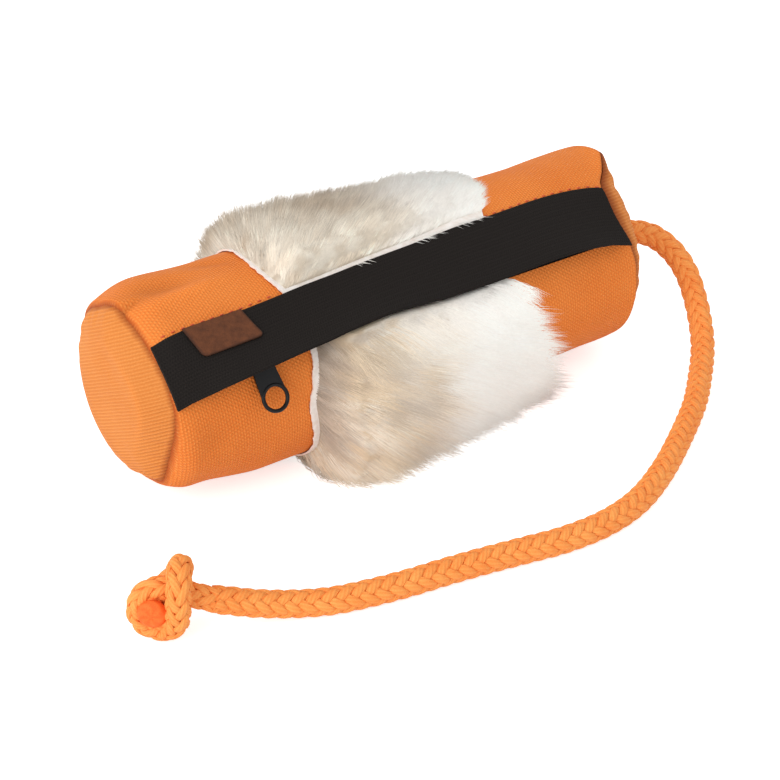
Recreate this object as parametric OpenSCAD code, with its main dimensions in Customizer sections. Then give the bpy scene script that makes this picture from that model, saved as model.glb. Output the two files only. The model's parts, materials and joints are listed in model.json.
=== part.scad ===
// Zip-up training bumper: a canvas treat tube with a fur band, a webbing flap and a throw rope.
// Millimetres. X runs along the tube, the rope leaves at +X, -Y is the front and Z is up.

/* [Canvas tube] */
// Length of the tube between its two end seams
tube_length = 190; // [150:5:240]
// Outer radius of the canvas
tube_radius = 36; // [32:1:42]
// Thickness of the coated canvas
canvas_thickness = 1.2; // [0.8:0.1:1.6]
// Height of the canvas underside above the ground, taken up by the pressed fur
ground_clearance = 3; // [2:0.5:5]
// Angle of the zip line above the horizontal, seen from the front
zip_angle = 40; // [30:1:55]
// Length at each end over which the tube narrows to its seam
seam_taper = 20; // [12:1:30]
// How far the seam draws the tube in
seam_drop = 1.5; // [0.5:0.1:2.5]
// How far the end panels bulge past the seams
end_bulge = 8; // [6:0.5:12]
// Radius of the roll at the rim of each end panel
end_roll = 6; // [4:0.5:8]

/* [Lining] */
// Thickness of the wipe-clean lining
lining_thickness = 0.5; // [0.3:0.1:0.8]
// Gap left between sewn layers
layer_gap = 0.2; // [0.1:0.05:0.3]
// How far the lining's end discs sit inside the end panels
lining_disc_inset = 0.8; // [0.6:0.1:1.2]
// How much less the lining's end discs bulge and roll than the end panels
lining_bulge_loss = 1; // [0.6:0.1:1.5]
// Gap between the rim of a lining disc and the canvas round it
lining_rim_gap = 0.5; // [0.3:0.1:0.8]
// How far each slot edge of the lining stands back from the canvas edge
lining_slot_margin = 0.6; // [0.4:0.1:1]
// How far each seam tape sits inside its lining disc
seam_tape_inset = 1.4; // [1:0.1:2]
// Width of the tape that binds each end seam inside
seam_tape_width = 3.2; // [2:0.2:5]
// Thickness of the tape that binds each end seam inside
seam_tape_thickness = 1.2; // [0.8:0.1:2]

/* [Zip] */
// Half width of the slot in the canvas
slot_half_width = 6; // [5.6:0.2:7]
// Width of each zip tape from its inner edge
zip_tape_width = 12; // [9:0.5:14]
// Thickness of the zip tape
zip_tape_thickness = 0.5; // [0.3:0.1:0.7]
// Half width of the gap between the two tapes
tape_half_gap = 1.6; // [1.3:0.1:2]
// Distance between teeth on one side
tooth_pitch = 2.2; // [2:0.1:3]
// Width of a tooth along the zip
tooth_width = 0.8; // [0.6:0.1:1]
// Radius of the round head on a tooth
tooth_head_radius = 0.5; // [0.4:0.05:0.6]
// Length of a tooth behind the centre line
tooth_length = 2.9; // [2.4:0.1:3.2]
// Height of a tooth
tooth_height = 1.6; // [1.2:0.1:2]
// Gap between the tape and the teeth on it
tooth_seat = 0.05; // [0.02:0.01:0.1]
// Distance from the front seam to the pull's pin when the zip is closed
closed_inset = 32; // [24:1:44]
// Distance from the rear seam to the pull's pin when the zip is open
open_inset = 30; // [24:1:50]

/* [Slider and pull] */
// Thickness of the slider's plates
plate_thickness = 0.9; // [0.7:0.1:1.2]
// Clearance between the slider and the teeth
slider_clearance = 0.2; // [0.15:0.05:0.35]
// Length of the slider ahead of the pin
slider_nose = 4.2; // [3.6:0.2:5]
// Length of the slider behind the pin
slider_tail = 5.8; // [5.2:0.2:7]
// Half width of the slider's mouth
mouth_half_width = 5.4; // [5.2:0.1:5.6]
// Half width of the slider's tail
tail_half_width = 3.9; // [3.7:0.1:4.4]
// How far each row of teeth is spread at the mouth
tooth_spread = 1.8; // [1.6:0.1:1.9]
// Half width of the post that parts the teeth
post_half_width = 0.8; // [0.6:0.05:0.9]
// Length of the post from the slider's nose
post_length = 2.4; // [2:0.1:2.6]
// Wall of the flange down each side of the slider
flange_wall = 0.55; // [0.4:0.05:0.6]
// Depth of that flange below the top plate
flange_drop = 1; // [0.8:0.1:1.1]
// Height of the opening under the bridge
bridge_opening = 1.65; // [1.5:0.05:2]
// Thickness of the bridge
bridge_thickness = 0.8; // [0.6:0.1:1]
// Radius of the pin that carries the pull
pin_radius = 0.8; // [0.6:0.05:0.9]
// Radial clearance of the pull's eye on its pin
pin_clearance = 0.1; // [0.05:0.01:0.2]
// Wall of the pull's eye round its pin
eye_wall = 1.3; // [1:0.1:1.5]
// Thickness of the pull
pull_thickness = 0.8; // [0.6:0.1:1]
// Distance from the pin to the centre of the finger ring
pull_reach = 19; // [15:0.5:24]
// Radius of the hole in the finger ring
ring_hole_radius = 3.8; // [3:0.1:4.4]
// Wall of the finger ring
ring_wall = 1.35; // [0.9:0.05:1.6]
// Half width of the pull's neck
neck_half_width = 1.5; // [1.2:0.1:1.8]
// Half width of the pull's shoulder
shoulder_half_width = 4.2; // [3.4:0.1:4.8]
// Distance from the pin to the pull's shoulder
shoulder_reach = 8; // [6:0.5:10]
// Gap between the pull and the fur's hide that it slides over
pull_gap = 0.2; // [0.1:0.05:0.4]
// How far the pull leans along the tube at rest, in degrees
pull_yaw = 7.5; // [0:0.5:15]

/* [Flap] */
// Width of the webbing flap
flap_width = 25; // [22:0.5:30]
// Thickness of the webbing
flap_thickness = 1.3; // [1:0.1:1.6]
// Distance from the zip line back to the flap's sewn edge
flap_back = 13.8; // [12:0.2:16]
// Gap between the flap and the canvas
flap_gap = 0.3; // [0.3:0.1:0.6]
// Lift of the flap at mid length, in degrees about its sewn edge
flap_lift = 26; // [22:1:32]
// Length of the label along the flap
label_length = 22.5; // [16:0.5:26]
// Height of the label from the flap's sewn edge
label_height = 12; // [8:0.5:14]
// Thickness of the label
label_thickness = 0.9; // [0.6:0.1:1.2]
// Radius of the label's lower corners
label_corner = 2.5; // [1:0.5:4]
// Distance from the front seam to the middle of the label
label_inset = 24; // [17:1:31]
// Gap between the label and the flap
label_gap = 0.1; // [0.05:0.01:0.2]

/* [Fur band] */
// Distance from the front seam to the hide's left edge
hide_inset = 52; // [48:1:58]
// Width of the hide along the tube
hide_width = 77; // [70:1:84]
// Gap between the hide and the canvas
hide_gap = 0.1; // [0.05:0.05:0.2]
// Thickness of the hide
hide_thickness = 0.9; // [0.6:0.1:1.2]
// Greatest height of the pile above the hide
pile_height = 16.5; // [12:0.5:20]
// How far the pile hangs below the tube's axis under its own weight
pile_sag = 3; // [1:0.5:4]
// Distance from the hide's left edge to where the pile stands highest
pile_rise = 23; // [13:1:40]
// How far the pile lies over the hide's left edge
pile_over_left = 6; // [3:0.5:8]
// How far the pile lies over the hide's right edge
pile_over_right = 20; // [12:0.5:26]
// Gap between the hide and the pile on it
pile_gap = 0.05; // [0.02:0.01:0.1]
// Angle below the zip line where the front pile ends
front_pile_angle = 50; // [40:1:60]

/* [Rope] */
// Diameter of the braided throw rope
rope_diameter = 9; // [8:0.5:10]
// Radius of the rope where the knots squeeze it
knot_rope_radius = 3.1; // [2.6:0.1:3.4]
// Radial clearance between the rope and its eyelet
eyelet_clearance = 0.3; // [0.2:0.1:0.6]
// Wall of the eyelet's barrel
eyelet_wall = 0.7; // [0.5:0.1:1]
// Width of the eyelet's flange past its barrel
eyelet_flange = 3; // [2:0.2:4]
// Thickness of the eyelet's flange and washer
flange_thickness = 0.7; // [0.5:0.1:1]
// Gap between the eyelet and what it is set against
eyelet_seat = 0.05; // [0.02:0.01:0.1]
// Radial gap between the eyelet and the holes in the panel and lining
eyelet_hole_gap = 0.15; // [0.1:0.05:0.3]
// How far the eyelet's barrel stands out past the panel
barrel_lip = 0.6; // [0.4:0.1:1]
// Gap between the inner knot and the washer
anchor_gap = 0.3; // [0.2:0.1:0.5]

/* [Hidden] */
$fn = 72;

// Where the tube lies
half_length = tube_length / 2;
axis_height = tube_radius + ground_clearance;
zip_tilt = 90 - zip_angle;
full_turn = 360;
straight_half = half_length - seam_taper;

// Radii of the layers, from the canvas inward
canvas_inner = tube_radius - canvas_thickness;
tape_outer = canvas_inner - layer_gap;
tape_inner = tape_outer - zip_tape_thickness;
lining_outer = tape_inner - layer_gap;
lining_inner = lining_outer - lining_thickness;

// End panels and what lies behind them
seam_radius = tube_radius - seam_drop;
lining_rim = seam_radius - canvas_thickness - lining_rim_gap;
lining_disc_bulge = end_bulge - lining_bulge_loss;
lining_disc_roll = end_roll - lining_bulge_loss;
dome_facets = 1000;
roll_facets = 96;

// Where the slider's pin is when closed, and how far it runs
closed_x = closed_inset - half_length;
slider_travel = tube_length - closed_inset - open_inset;

// Zip heights are measured from the tube's axis along the zip line
tooth_base = tape_outer + tooth_seat;
tooth_top = tooth_base + tooth_height;
top_plate_base = tooth_top + slider_clearance;
top_plate_top = top_plate_base + plate_thickness;
bottom_plate_top = sqrt(pow(tape_inner, 2) - pow(mouth_half_width, 2)) - slider_clearance / 2;
bottom_plate_base = bottom_plate_top - plate_thickness;
bridge_top = top_plate_top + bridge_opening;
pin_height = top_plate_top + bridge_opening / 2;
mouth_chamfer = 1.2;
tail_chamfer = 0.9;
spread_start = 1;
spread_end = -3;
bridge_half_width = 1;
bridge_inset = 1.2;
bridge_foot = 1.2;
bridge_end = slider_tail - bridge_inset;
pin_embed = 0.3;

// Stops just past each end of the slider's travel
stop_gap = 0.3;
stop_length = 2.2;
stop_grip = 0.3;
stop_over_teeth = 0.5;
top_stop_x = closed_x - slider_nose - stop_gap;
bottom_stop_x = closed_x + slider_travel + slider_tail + stop_gap;
first_tooth_x = top_stop_x + tooth_pitch / 2;
tooth_count = floor((bottom_stop_x - first_tooth_x) / tooth_pitch);

// Where the hide lies along the tube
hide_left = hide_inset - half_length;
hide_right = hide_left + hide_width;
pile_peak = hide_left + pile_rise;

// The pull lies in the plane that just clears the fur's hide
hide_base = tube_radius + hide_gap;
hide_top = hide_base + hide_thickness;
pull_plane = hide_top + pull_gap + pull_thickness / 2;
pull_tilt = acos(pull_plane / pin_height);
eye_radius = pin_radius + pin_clearance + eye_wall;
ring_radius = ring_hole_radius + ring_wall;

// Flap surface: an arc that turns about the sewn edge, most at mid length
flap_base = tube_radius + flap_gap;
flap_end_gap = 0.4;
flap_half_length = half_length - flap_end_gap;
flap_rear_angle = flap_back / flap_base * 180 / PI;
flap_fall_power = 3.5;
flap_columns = 28;
flap_rows = 5;
label_x = label_inset - half_length;
label_columns = 10;
label_rows = 3;

// Fur runs from behind the flap round the back and under to the front edge of the zip
hide_slot_gap = 1;
hide_flap_gap = flap_thickness + 2 * flap_gap;
hide_rear_angle = flap_rear_angle + hide_flap_gap / flap_base * 180 / PI;
hide_front_angle = full_turn - (slot_half_width + hide_slot_gap) / hide_base * 180 / PI;
pile_base = hide_top + pile_gap;
pile_edge_angle = 1.5;
pile_rear_angle = hide_rear_angle + pile_edge_angle;
pile_split_angle = full_turn - front_pile_angle;
pile_split_gap = 0.3;
flap_front_edge = flap_point(hide_left, flap_width, 0);
pile_front_angle = full_turn + atan2(flap_front_edge[1], flap_front_edge[2])
    - flap_gap / hide_base * 180 / PI;
pile_start = hide_left - pile_over_left;
pile_end = hide_right + pile_over_right;
pile_left_power = 0.4;
pile_right_power = 0.5;
pile_stations = 8;

// Blocks that cut, and how far a cut runs past the solid
cut_size = 400;
cut_over = 1;

// Rope and eyelet
rope_radius = rope_diameter / 2;
rope_sides = 10;
first_side = [0.2, 0.1, 1];
rope_steps = 2;
knot_sides = 10;
knot_steps = 3;
knot_lead = 4;
eyelet_bore = rope_radius + eyelet_clearance;
eyelet_outer = eyelet_bore + eyelet_wall;
panel_apex = half_length + end_bulge;
lining_apex = half_length - lining_disc_inset + lining_disc_bulge;
washer_face = lining_apex - lining_thickness - 2 * eyelet_seat
    - dome_sag(lining_rim - lining_disc_roll, lining_disc_bulge - lining_disc_roll, eyelet_outer + eyelet_flange);
anchor_x = washer_face - flange_thickness - anchor_gap;

// Rope route from the eyelet down to the ground and round the front to the end knot
rope_route = [
    [98.4, 0, 39], [105.4, 0, 39], [113, -2, 39], [122, -7, 37], [130, -13, 32], [135, -21, 25],
    [136, -30, 17], [132, -40, 10], [125, -47, 6], [115, -56, 4.5], [99, -72, 4.5], [81, -86, 4.5],
    [62, -98, 4.5], [44, -107, 4.5], [27, -111, 4.5], [10, -111, 4.5], [-5, -109, 4.5],
    [-19, -106, 4.5], [-33, -103, 4.5], [-47, -101, 4.5], [-61, -98, 4.5], [-74, -94, 4.5],
    [-86, -89.5, 5], [-97, -85.5, 6.5], [-105, -83, 8], [-109.5, -81.5, 9]
];
// Overhand knot, from where the rope comes in to its cut end: right, toward the front, up
knot_route = [
    [17, -3, 9], [12, -2.5, 11.5], [7, -2, 14], [1, -1, 18], [-4.5, 0, 16.5], [-6.8, 0.5, 11],
    [-5, 1, 6], [0, 2, 4], [4.5, 3.5, 6], [7, 5, 11], [7.5, 5, 17], [7.5, 3.5, 22.5],
    [7.5, -1.5, 25], [7, -6.5, 22.5], [5.5, -9, 17.5], [3, -9, 13], [0.5, -6, 11], [0, 0, 11],
    [0, 7, 11.5]
];
end_knot_place = [-125, -75, 0];
end_knot_turn = -32.5;

// Placing and revolving

// Turns the zip line from straight up to its angle and sets the tube at its height
module on_tube() {
    translate([0, 0, axis_height]) rotate([zip_tilt, 0, 0]) children();
}

// Revolves a radius-and-length profile about the tube between two angles from the zip line
module round_tube(from_angle, to_angle) {
    rotate([0, 90, 0]) rotate([0, 0, 180 - to_angle])
        rotate_extrude(angle = to_angle - from_angle) children();
}

// How far the tube has narrowed at x
function seam_narrowing(x) = seam_drop * pow(max(0, abs(x) - straight_half) / seam_taper, 2);

// Stations along the tube: one straight run and a curve at each end
taper_steps = 4;
tube_stations = [
    for (i = [0 : taper_steps]) -half_length + seam_taper * i / taper_steps,
    for (i = [0 : taper_steps]) straight_half + seam_taper * i / taper_steps
];

// A layer of the tube between two radii, which follows the narrowing at the seams
module layer_profile(inner, outer, inset) {
    stations = [for (x = tube_stations) x * (half_length - inset) / half_length];
    last = len(stations) - 1;
    polygon(concat(
        [for (x = stations) [outer - seam_narrowing(x), x]],
        [for (i = [last : -1 : 0]) [inner - seam_narrowing(stations[i]), stations[i]]]
    ));
}

// Half angle of a slot edge at a radius
function slot_angle(half_width, radius) = asin(half_width / radius);

// Radius of the ball that a dome is part of, and how far the dome has fallen at a radius
function dome_ball(rim, rise) = (pow(rim, 2) + pow(rise, 2)) / (2 * rise);
function dome_sag(rim, rise, radius) =
    dome_ball(rim, rise) - sqrt(pow(dome_ball(rim, rise), 2) - pow(radius, 2));

// Half section of a puffed disc: a low dome inside, with a round roll at its rim
module puffed_section(rim, rise, roll) {
    flat = rim - roll;
    ball = dome_ball(flat, rise - roll);
    intersection() {
        translate([0, rise - ball]) circle(ball, $fn = dome_facets);
        square([flat, rise]);
    }
    intersection() {
        translate([flat, 0]) circle(roll, $fn = roll_facets);
        translate([flat, 0]) square(roll);
    }
}

// A puffed disc of even thickness that rises along +Z from its rim
module puffed_disc(rim, rise, roll, thickness) {
    rotate_extrude() difference() {
        puffed_section(rim, rise, roll);
        puffed_section(rim - thickness, rise - thickness, roll - thickness);
    }
}

// Sets a disc at the front or rear end, rising outward
module at_end(x, side) {
    translate([side * x, 0, axis_height]) rotate([0, side * 90, 0]) children();
}

// Canvas and lining

module body_panel() {
    edge = slot_angle(slot_half_width, tube_radius);
    color("#e8853a") on_tube() round_tube(edge, full_turn - edge)
        layer_profile(canvas_inner, tube_radius, 0);
}

module end_panel(side, hole) {
    color("#e8853a") difference() {
        at_end(half_length, side) puffed_disc(seam_radius, end_bulge, end_roll, canvas_thickness);
        if (hole > 0) at_end(half_length, side) cylinder(r = hole, h = 2 * end_bulge);
    }
}

module front_end_panel() {
    end_panel(-1, 0);
}

module rear_end_panel() {
    end_panel(1, eyelet_outer + eyelet_hole_gap);
}

module lining_tube() {
    edge = slot_angle(slot_half_width + lining_slot_margin, lining_outer);
    color("#5a5c60") on_tube() round_tube(edge, full_turn - edge)
        layer_profile(lining_inner, lining_outer, lining_disc_inset + layer_gap);
}

module lining_disc(side, hole) {
    color("#5a5c60") difference() {
        at_end(half_length - lining_disc_inset, side)
            puffed_disc(lining_rim, lining_disc_bulge, lining_disc_roll, lining_thickness);
        if (hole > 0) at_end(half_length - lining_disc_inset, side)
            cylinder(r = hole, h = 2 * end_bulge);
    }
}

module front_lining_disc() {
    lining_disc(-1, 0);
}

module rear_lining_disc() {
    lining_disc(1, eyelet_outer + eyelet_hole_gap);
}

// The folded tape that covers an end seam's raw edges inside the lining
module seam_tape(side) {
    face = half_length - lining_disc_inset - seam_tape_inset;
    outer = lining_inner - seam_narrowing(face) - layer_gap;
    color("#2c2c2e") at_end(face - seam_tape_thickness, side) difference() {
        cylinder(r = outer, h = seam_tape_thickness);
        translate([0, 0, -cut_over])
            cylinder(r = outer - seam_tape_width, h = seam_tape_thickness + 2 * cut_over);
    }
}

module front_seam_tape() {
    seam_tape(-1);
}

module rear_seam_tape() {
    seam_tape(1);
}

// Zip

module zip_tape(side) {
    inner_edge = slot_angle(tape_half_gap, tape_outer);
    outer_edge = inner_edge + zip_tape_width / tape_outer * 180 / PI;
    color("#1d1c1c") on_tube() round_tube(
        side > 0 ? inner_edge : -outer_edge,
        side > 0 ? outer_edge : -inner_edge
    ) layer_profile(tape_inner, tape_outer, lining_disc_inset + layer_gap);
}

module zip_tape_front() {
    zip_tape(-1);
}

module zip_tape_rear() {
    zip_tape(1);
}

// How far a row of teeth is spread at x, with the slider at its closed end
function spread_at(x) =
    tooth_spread * min(1, max(0, (closed_x + spread_start - x) / (spread_start - spread_end)));

// One row of teeth: round heads cross the centre line between those of the other row
module zip_teeth(side) {
    shift = side > 0 ? tooth_pitch / 2 : 0;
    color("#1b1b1b") on_tube() for (i = [0 : tooth_count - 1]) {
        x = first_tooth_x + shift + i * tooth_pitch;
        translate([x, side * spread_at(x), tooth_base]) linear_extrude(tooth_height) union() {
            circle(tooth_head_radius, $fn = 24);
            translate([-tooth_width / 2, side > 0 ? 0 : -tooth_length])
                square([tooth_width, tooth_length]);
        }
    }
}

module zip_teeth_front() {
    zip_teeth(-1);
}

module zip_teeth_rear() {
    zip_teeth(1);
}

// A clamp of bent strip round the zip's edge, from below the tape to above the teeth
module stop_clamp(x, inner, outer) {
    low = tape_inner - stop_grip - plate_thickness / 2;
    high = tooth_top + stop_over_teeth;
    slit = zip_tape_thickness + tape_outer - sqrt(pow(tape_outer, 2) - pow(outer, 2)) + layer_gap;
    translate([x, 0, 0]) difference() {
        translate([0, inner, low]) cube([stop_length, outer - inner, high - low]);
        translate([-cut_over, tape_half_gap - layer_gap / 2, tape_outer + tooth_seat - slit])
            cube([stop_length + 2 * cut_over, outer, slit]);
    }
}

// One clamp on each parted row, just ahead of the closed slider
module zip_top_stops() {
    inner = tape_half_gap - plate_thickness / 2;
    outer = tooth_length + tooth_spread;
    color("#2a2a2b") on_tube() for (flip = [0, 1]) {
        mirror([0, flip, 0]) stop_clamp(top_stop_x - stop_length, inner, outer);
    }
}

// One clamp across both rows, just past the open slider
module zip_bottom_stop() {
    color("#2a2a2b") on_tube() for (flip = [0, 1]) {
        mirror([0, flip, 0]) stop_clamp(bottom_stop_x, 0, tooth_length + stop_grip);
    }
}

// Slider and pull

module slider_outline() {
    polygon([
        [-slider_nose, -mouth_half_width + mouth_chamfer],
        [-slider_nose + mouth_chamfer, -mouth_half_width],
        [slider_tail - tail_chamfer, -tail_half_width],
        [slider_tail, -tail_half_width + tail_chamfer],
        [slider_tail, tail_half_width - tail_chamfer],
        [slider_tail - tail_chamfer, tail_half_width],
        [-slider_nose + mouth_chamfer, mouth_half_width],
        [-slider_nose, mouth_half_width - mouth_chamfer]
    ]);
}

// The channel that the teeth run in, open at both ends
module slider_channel() {
    mouth = mouth_half_width - flange_wall;
    tail = tail_half_width - flange_wall;
    polygon([
        [-slider_nose - cut_over, -mouth], [-slider_nose + mouth_chamfer, -mouth],
        [slider_tail + cut_over, -tail], [slider_tail + cut_over, tail],
        [-slider_nose + mouth_chamfer, mouth], [-slider_nose - cut_over, mouth]
    ]);
}

// A block just under the pull, which bevels the top plate's long edges so that the pull swings clear
module pull_bevel() {
    translate([0, 0, pin_height]) rotate([pull_tilt, 0, 0])
        translate([-cut_size / 2, -cut_size / 2, -pull_thickness / 2 - slider_clearance]) cube(cut_size);
}

// Two plates joined by the post that parts the teeth, with a flange down each side
module zip_slider() {
    color("#1c1c1e") on_tube() translate([closed_x, 0, 0]) {
        difference() {
            translate([0, 0, top_plate_base - flange_drop])
                linear_extrude(flange_drop + plate_thickness) slider_outline();
            translate([0, 0, top_plate_base - flange_drop - cut_over])
                linear_extrude(flange_drop + cut_over) slider_channel();
            for (flip = [0, 1]) mirror([0, flip, 0]) pull_bevel();
        }
        translate([0, 0, bottom_plate_base]) linear_extrude(plate_thickness) slider_outline();
        translate([-slider_nose, 0, bottom_plate_top - pin_embed])
            linear_extrude(top_plate_base - bottom_plate_top + 2 * pin_embed) union() {
                translate([0, -post_half_width]) square([post_length - post_half_width, 2 * post_half_width]);
                translate([post_length - post_half_width, 0]) circle(post_half_width);
            }
    }
}

// The axis of the pull's pin, tilted so that the pull lies along the tube
module on_pin() {
    on_tube() translate([closed_x, 0, pin_height]) rotate([pull_tilt, 0, 0]) children();
}

// A bar over the slider, carried by a foot and by the pin that the pull turns on
module slider_bridge() {
    reach = (bridge_opening / 2 + pin_embed) / cos(pull_tilt);
    color("#1c1c1e") {
        on_tube() translate([closed_x, 0, 0]) {
            translate([-bridge_half_width, -bridge_half_width, bridge_top])
                cube([bridge_end + bridge_half_width, 2 * bridge_half_width, bridge_thickness]);
            translate([bridge_end - bridge_foot, -bridge_half_width, top_plate_top])
                cube([bridge_foot, 2 * bridge_half_width, bridge_opening + bridge_thickness / 2]);
        }
        intersection() {
            on_pin() translate([0, 0, -2 * reach]) cylinder(r = pin_radius, h = 4 * reach);
            on_tube() translate([closed_x - 2 * bridge_half_width, -2 * bridge_half_width, top_plate_top])
                cube([4 * bridge_half_width, 4 * bridge_half_width, bridge_opening + pin_embed]);
        }
    }
}

// A flat tongue that widens from its eye and runs on into an open finger ring
module zip_pull() {
    ring_join = ring_radius - ring_wall / 4;
    color("#161617") on_pin() rotate([0, 0, pull_yaw])
        translate([0, 0, -pull_thickness / 2]) linear_extrude(pull_thickness) difference() {
            union() {
                circle(eye_radius);
                translate([0, -pull_reach]) circle(ring_radius);
                polygon([
                    [-neck_half_width, 0], [-neck_half_width, -2 * eye_radius],
                    [-shoulder_half_width, -shoulder_reach], [-ring_join, -pull_reach],
                    [ring_join, -pull_reach], [shoulder_half_width, -shoulder_reach],
                    [neck_half_width, -2 * eye_radius], [neck_half_width, 0]
                ]);
            }
            circle(pin_radius + pin_clearance);
            translate([0, -pull_reach]) circle(ring_hole_radius);
        }
}

// Flap and label

// Turn of the flap about its sewn edge at x
function flap_turn(x) = flap_lift * (1 - pow(min(1, abs(x) / half_length), flap_fall_power));

// A point of the flap: along the tube, across from the sewn edge, and up from the underside
function flap_point(x, across, up) =
    let (
        angle = flap_rear_angle - across / flap_base * 180 / PI,
        edge = flap_base * [sin(flap_rear_angle), cos(flap_rear_angle)],
        off = (flap_base + up) * [sin(angle), cos(angle)] - edge,
        turn = flap_turn(x)
    )
    [x, edge[0] + off[0] * cos(turn) + off[1] * sin(turn), edge[1] - off[0] * sin(turn) + off[1] * cos(turn)];

// A closed sheet on the flap's surface between two heights; widths gives its width at each x
module flap_sheet(xs, widths, rows, low, high) {
    columns = len(xs);
    per_side = columns * (rows + 1);
    points = [
        for (up = [low, high]) for (i = [0 : columns - 1]) for (j = [0 : rows])
            flap_point(xs[i], widths[i] * j / rows, up)
    ];
    function at(i, j) = i * (rows + 1) + j;
    function quad(a, b, c, d) = [[a, b, c], [a, c, d]];
    function strip(a, b) = quad(a, b, b + per_side, a + per_side);
    faces = [
        for (i = [0 : columns - 2]) for (j = [0 : rows - 1])
            each quad(at(i, j), at(i + 1, j), at(i + 1, j + 1), at(i, j + 1)),
        for (i = [0 : columns - 2]) for (j = [0 : rows - 1])
            each quad(at(i, j + 1) + per_side, at(i + 1, j + 1) + per_side, at(i + 1, j) + per_side,
                at(i, j) + per_side),
        for (i = [0 : columns - 2]) each strip(at(i + 1, 0), at(i, 0)),
        for (i = [0 : columns - 2]) each strip(at(i, rows), at(i + 1, rows)),
        for (j = [0 : rows - 1]) each strip(at(0, j), at(0, j + 1)),
        for (j = [0 : rows - 1]) each strip(at(columns - 1, j + 1), at(columns - 1, j))
    ];
    polyhedron(points, [for (f = faces) [f[2], f[1], f[0]]]);
}

module flap() {
    xs = [for (i = [0 : flap_columns]) -flap_half_length + 2 * flap_half_length * i / flap_columns];
    color("#242221") on_tube()
        flap_sheet(xs, [for (x = xs) flap_width], flap_rows, 0, flap_thickness);
}

// Width lost at a rounded corner, by distance from the label's side
function corner_loss(inside) =
    inside < label_corner
        ? label_corner - sqrt(pow(label_corner, 2) - pow(label_corner - inside, 2))
        : 0;

// A leather patch caught in the flap's sewn edge
module label() {
    ends = [for (i = [0 : label_columns]) label_length * (1 - cos(180 * i / label_columns)) / 2];
    widths = [for (s = ends) label_height - corner_loss(min(s, label_length - s))];
    xs = [for (s = ends) label_x - label_length / 2 + s];
    color("#5f3e32") on_tube()
        flap_sheet(xs, widths, label_rows, flap_thickness + label_gap, flap_thickness + label_gap + label_thickness);
}

// Fur band

module fur_hide() {
    color("#efe7da") on_tube() round_tube(hide_rear_angle, hide_front_angle)
        translate([hide_base, hide_left]) square([hide_thickness, hide_right - hide_left]);
}

// Height of the pile at x: steep on the left, long on the right where the hair lies down
function pile_at(x) =
    let (
        reach = x < pile_peak ? pile_peak - pile_start : pile_end - pile_peak,
        power = x < pile_peak ? pile_left_power : pile_right_power
    )
    pile_height * pow(max(0, 1 - pow((x - pile_peak) / reach, 2)), power);

module pile_profile() {
    left = [for (i = [0 : pile_stations]) pile_peak - (pile_peak - pile_start) * cos(90 * i / pile_stations)];
    right = [for (i = [1 : pile_stations]) pile_peak + (pile_end - pile_peak) * sin(90 * i / pile_stations)];
    polygon(concat(
        [[0, pile_start]],
        [for (x = concat(left, right)) [pile_base + pile_at(x), x]],
        [[0, pile_end]]
    ));
}

// The pile between two angles from the zip line: round, hung below the tube's axis, and open for the hide
module pile_part(from_angle, to_angle) {
    intersection() {
        difference() {
            translate([0, 0, axis_height - pile_sag]) rotate([0, 90, 0]) rotate_extrude() pile_profile();
            translate([-cut_size / 2, 0, axis_height]) rotate([0, 90, 0]) cylinder(r = pile_base, h = cut_size);
        }
        on_tube() round_tube(from_angle, to_angle)
            translate([0, -cut_size / 2]) square([cut_size / 2, cut_size]);
    }
}

// The pile round the back and under the tube, pressed flat where the bumper lies
module fur_pile() {
    color("#e4d9c8") difference() {
        pile_part(pile_rear_angle, pile_split_angle - pile_split_gap);
        translate([-cut_size / 2, -cut_size / 2, -cut_size]) cube(cut_size);
    }
}

// The pile in front, which starts under the flap and gives way to the pull
module fur_pile_front() {
    color("#e9dfcf") pile_part(pile_split_angle, pile_front_angle);
}

// Rope

function unit(v) = v / norm(v);

// A smooth curve through the points, with some steps between neighbours
function curve_point(a, b, c, d, u) =
    (2 * b + (c - a) * u + (2 * a - 5 * b + 4 * c - d) * u * u + (3 * b - a - 3 * c + d) * u * u * u) / 2;
function curve(p, steps) = [
    for (i = [0 : len(p) - 2]) for (s = [0 : steps - 1])
        curve_point(p[max(i - 1, 0)], p[i], p[i + 1], p[min(i + 2, len(p) - 1)], s / steps),
    p[len(p) - 1]
];
function tangents(c) = [for (i = [0 : len(c) - 1]) unit(c[min(i + 1, len(c) - 1)] - c[max(i - 1, 0)])];
function square_to(v, t) = unit(v - (v * t) * t);

// Side directions carried along the curve without twist
function sides_along(t) = [
    for (i = 0, n = square_to(first_side, t[0]); i < len(t);
        i = i + 1, n = i < len(t) ? square_to(n, t[i]) : n) n
];

// One closed tube along a list of points, with a radius for each
module tube(path, radii, sides) {
    t = tangents(path);
    n = sides_along(t);
    last = len(path) - 1;
    points = [
        for (i = [0 : last]) for (k = [0 : sides - 1])
            path[i] + radii[i] * (cos(full_turn * k / sides) * n[i] + sin(full_turn * k / sides) * cross(t[i], n[i]))
    ];
    function at(i, k) = i * sides + k % sides;
    faces = [
        [for (k = [0 : sides - 1]) at(0, k)],
        [for (k = [sides - 1 : -1 : 0]) at(last, k)],
        for (i = [0 : last - 1]) for (k = [0 : sides - 1]) each [
            [at(i, k), at(i + 1, k), at(i + 1, k + 1)],
            [at(i, k), at(i + 1, k + 1), at(i, k + 1)]
        ]
    ];
    polyhedron(points, faces);
}

module throw_rope() {
    path = curve(rope_route, rope_steps);
    color("#f08a32") tube(path, [for (p = path) rope_radius], rope_sides);
}

// An overhand knot drawn tight: a loop, a turn over the rope that comes in, and the end through the loop
module overhand_knot() {
    path = curve(knot_route, knot_steps);
    squeeze = [for (i = [0 : len(path) - 1]) min(1, i / knot_lead)];
    tube(path, [for (s = squeeze) rope_radius + (knot_rope_radius - rope_radius) * s], knot_sides);
}

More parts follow.
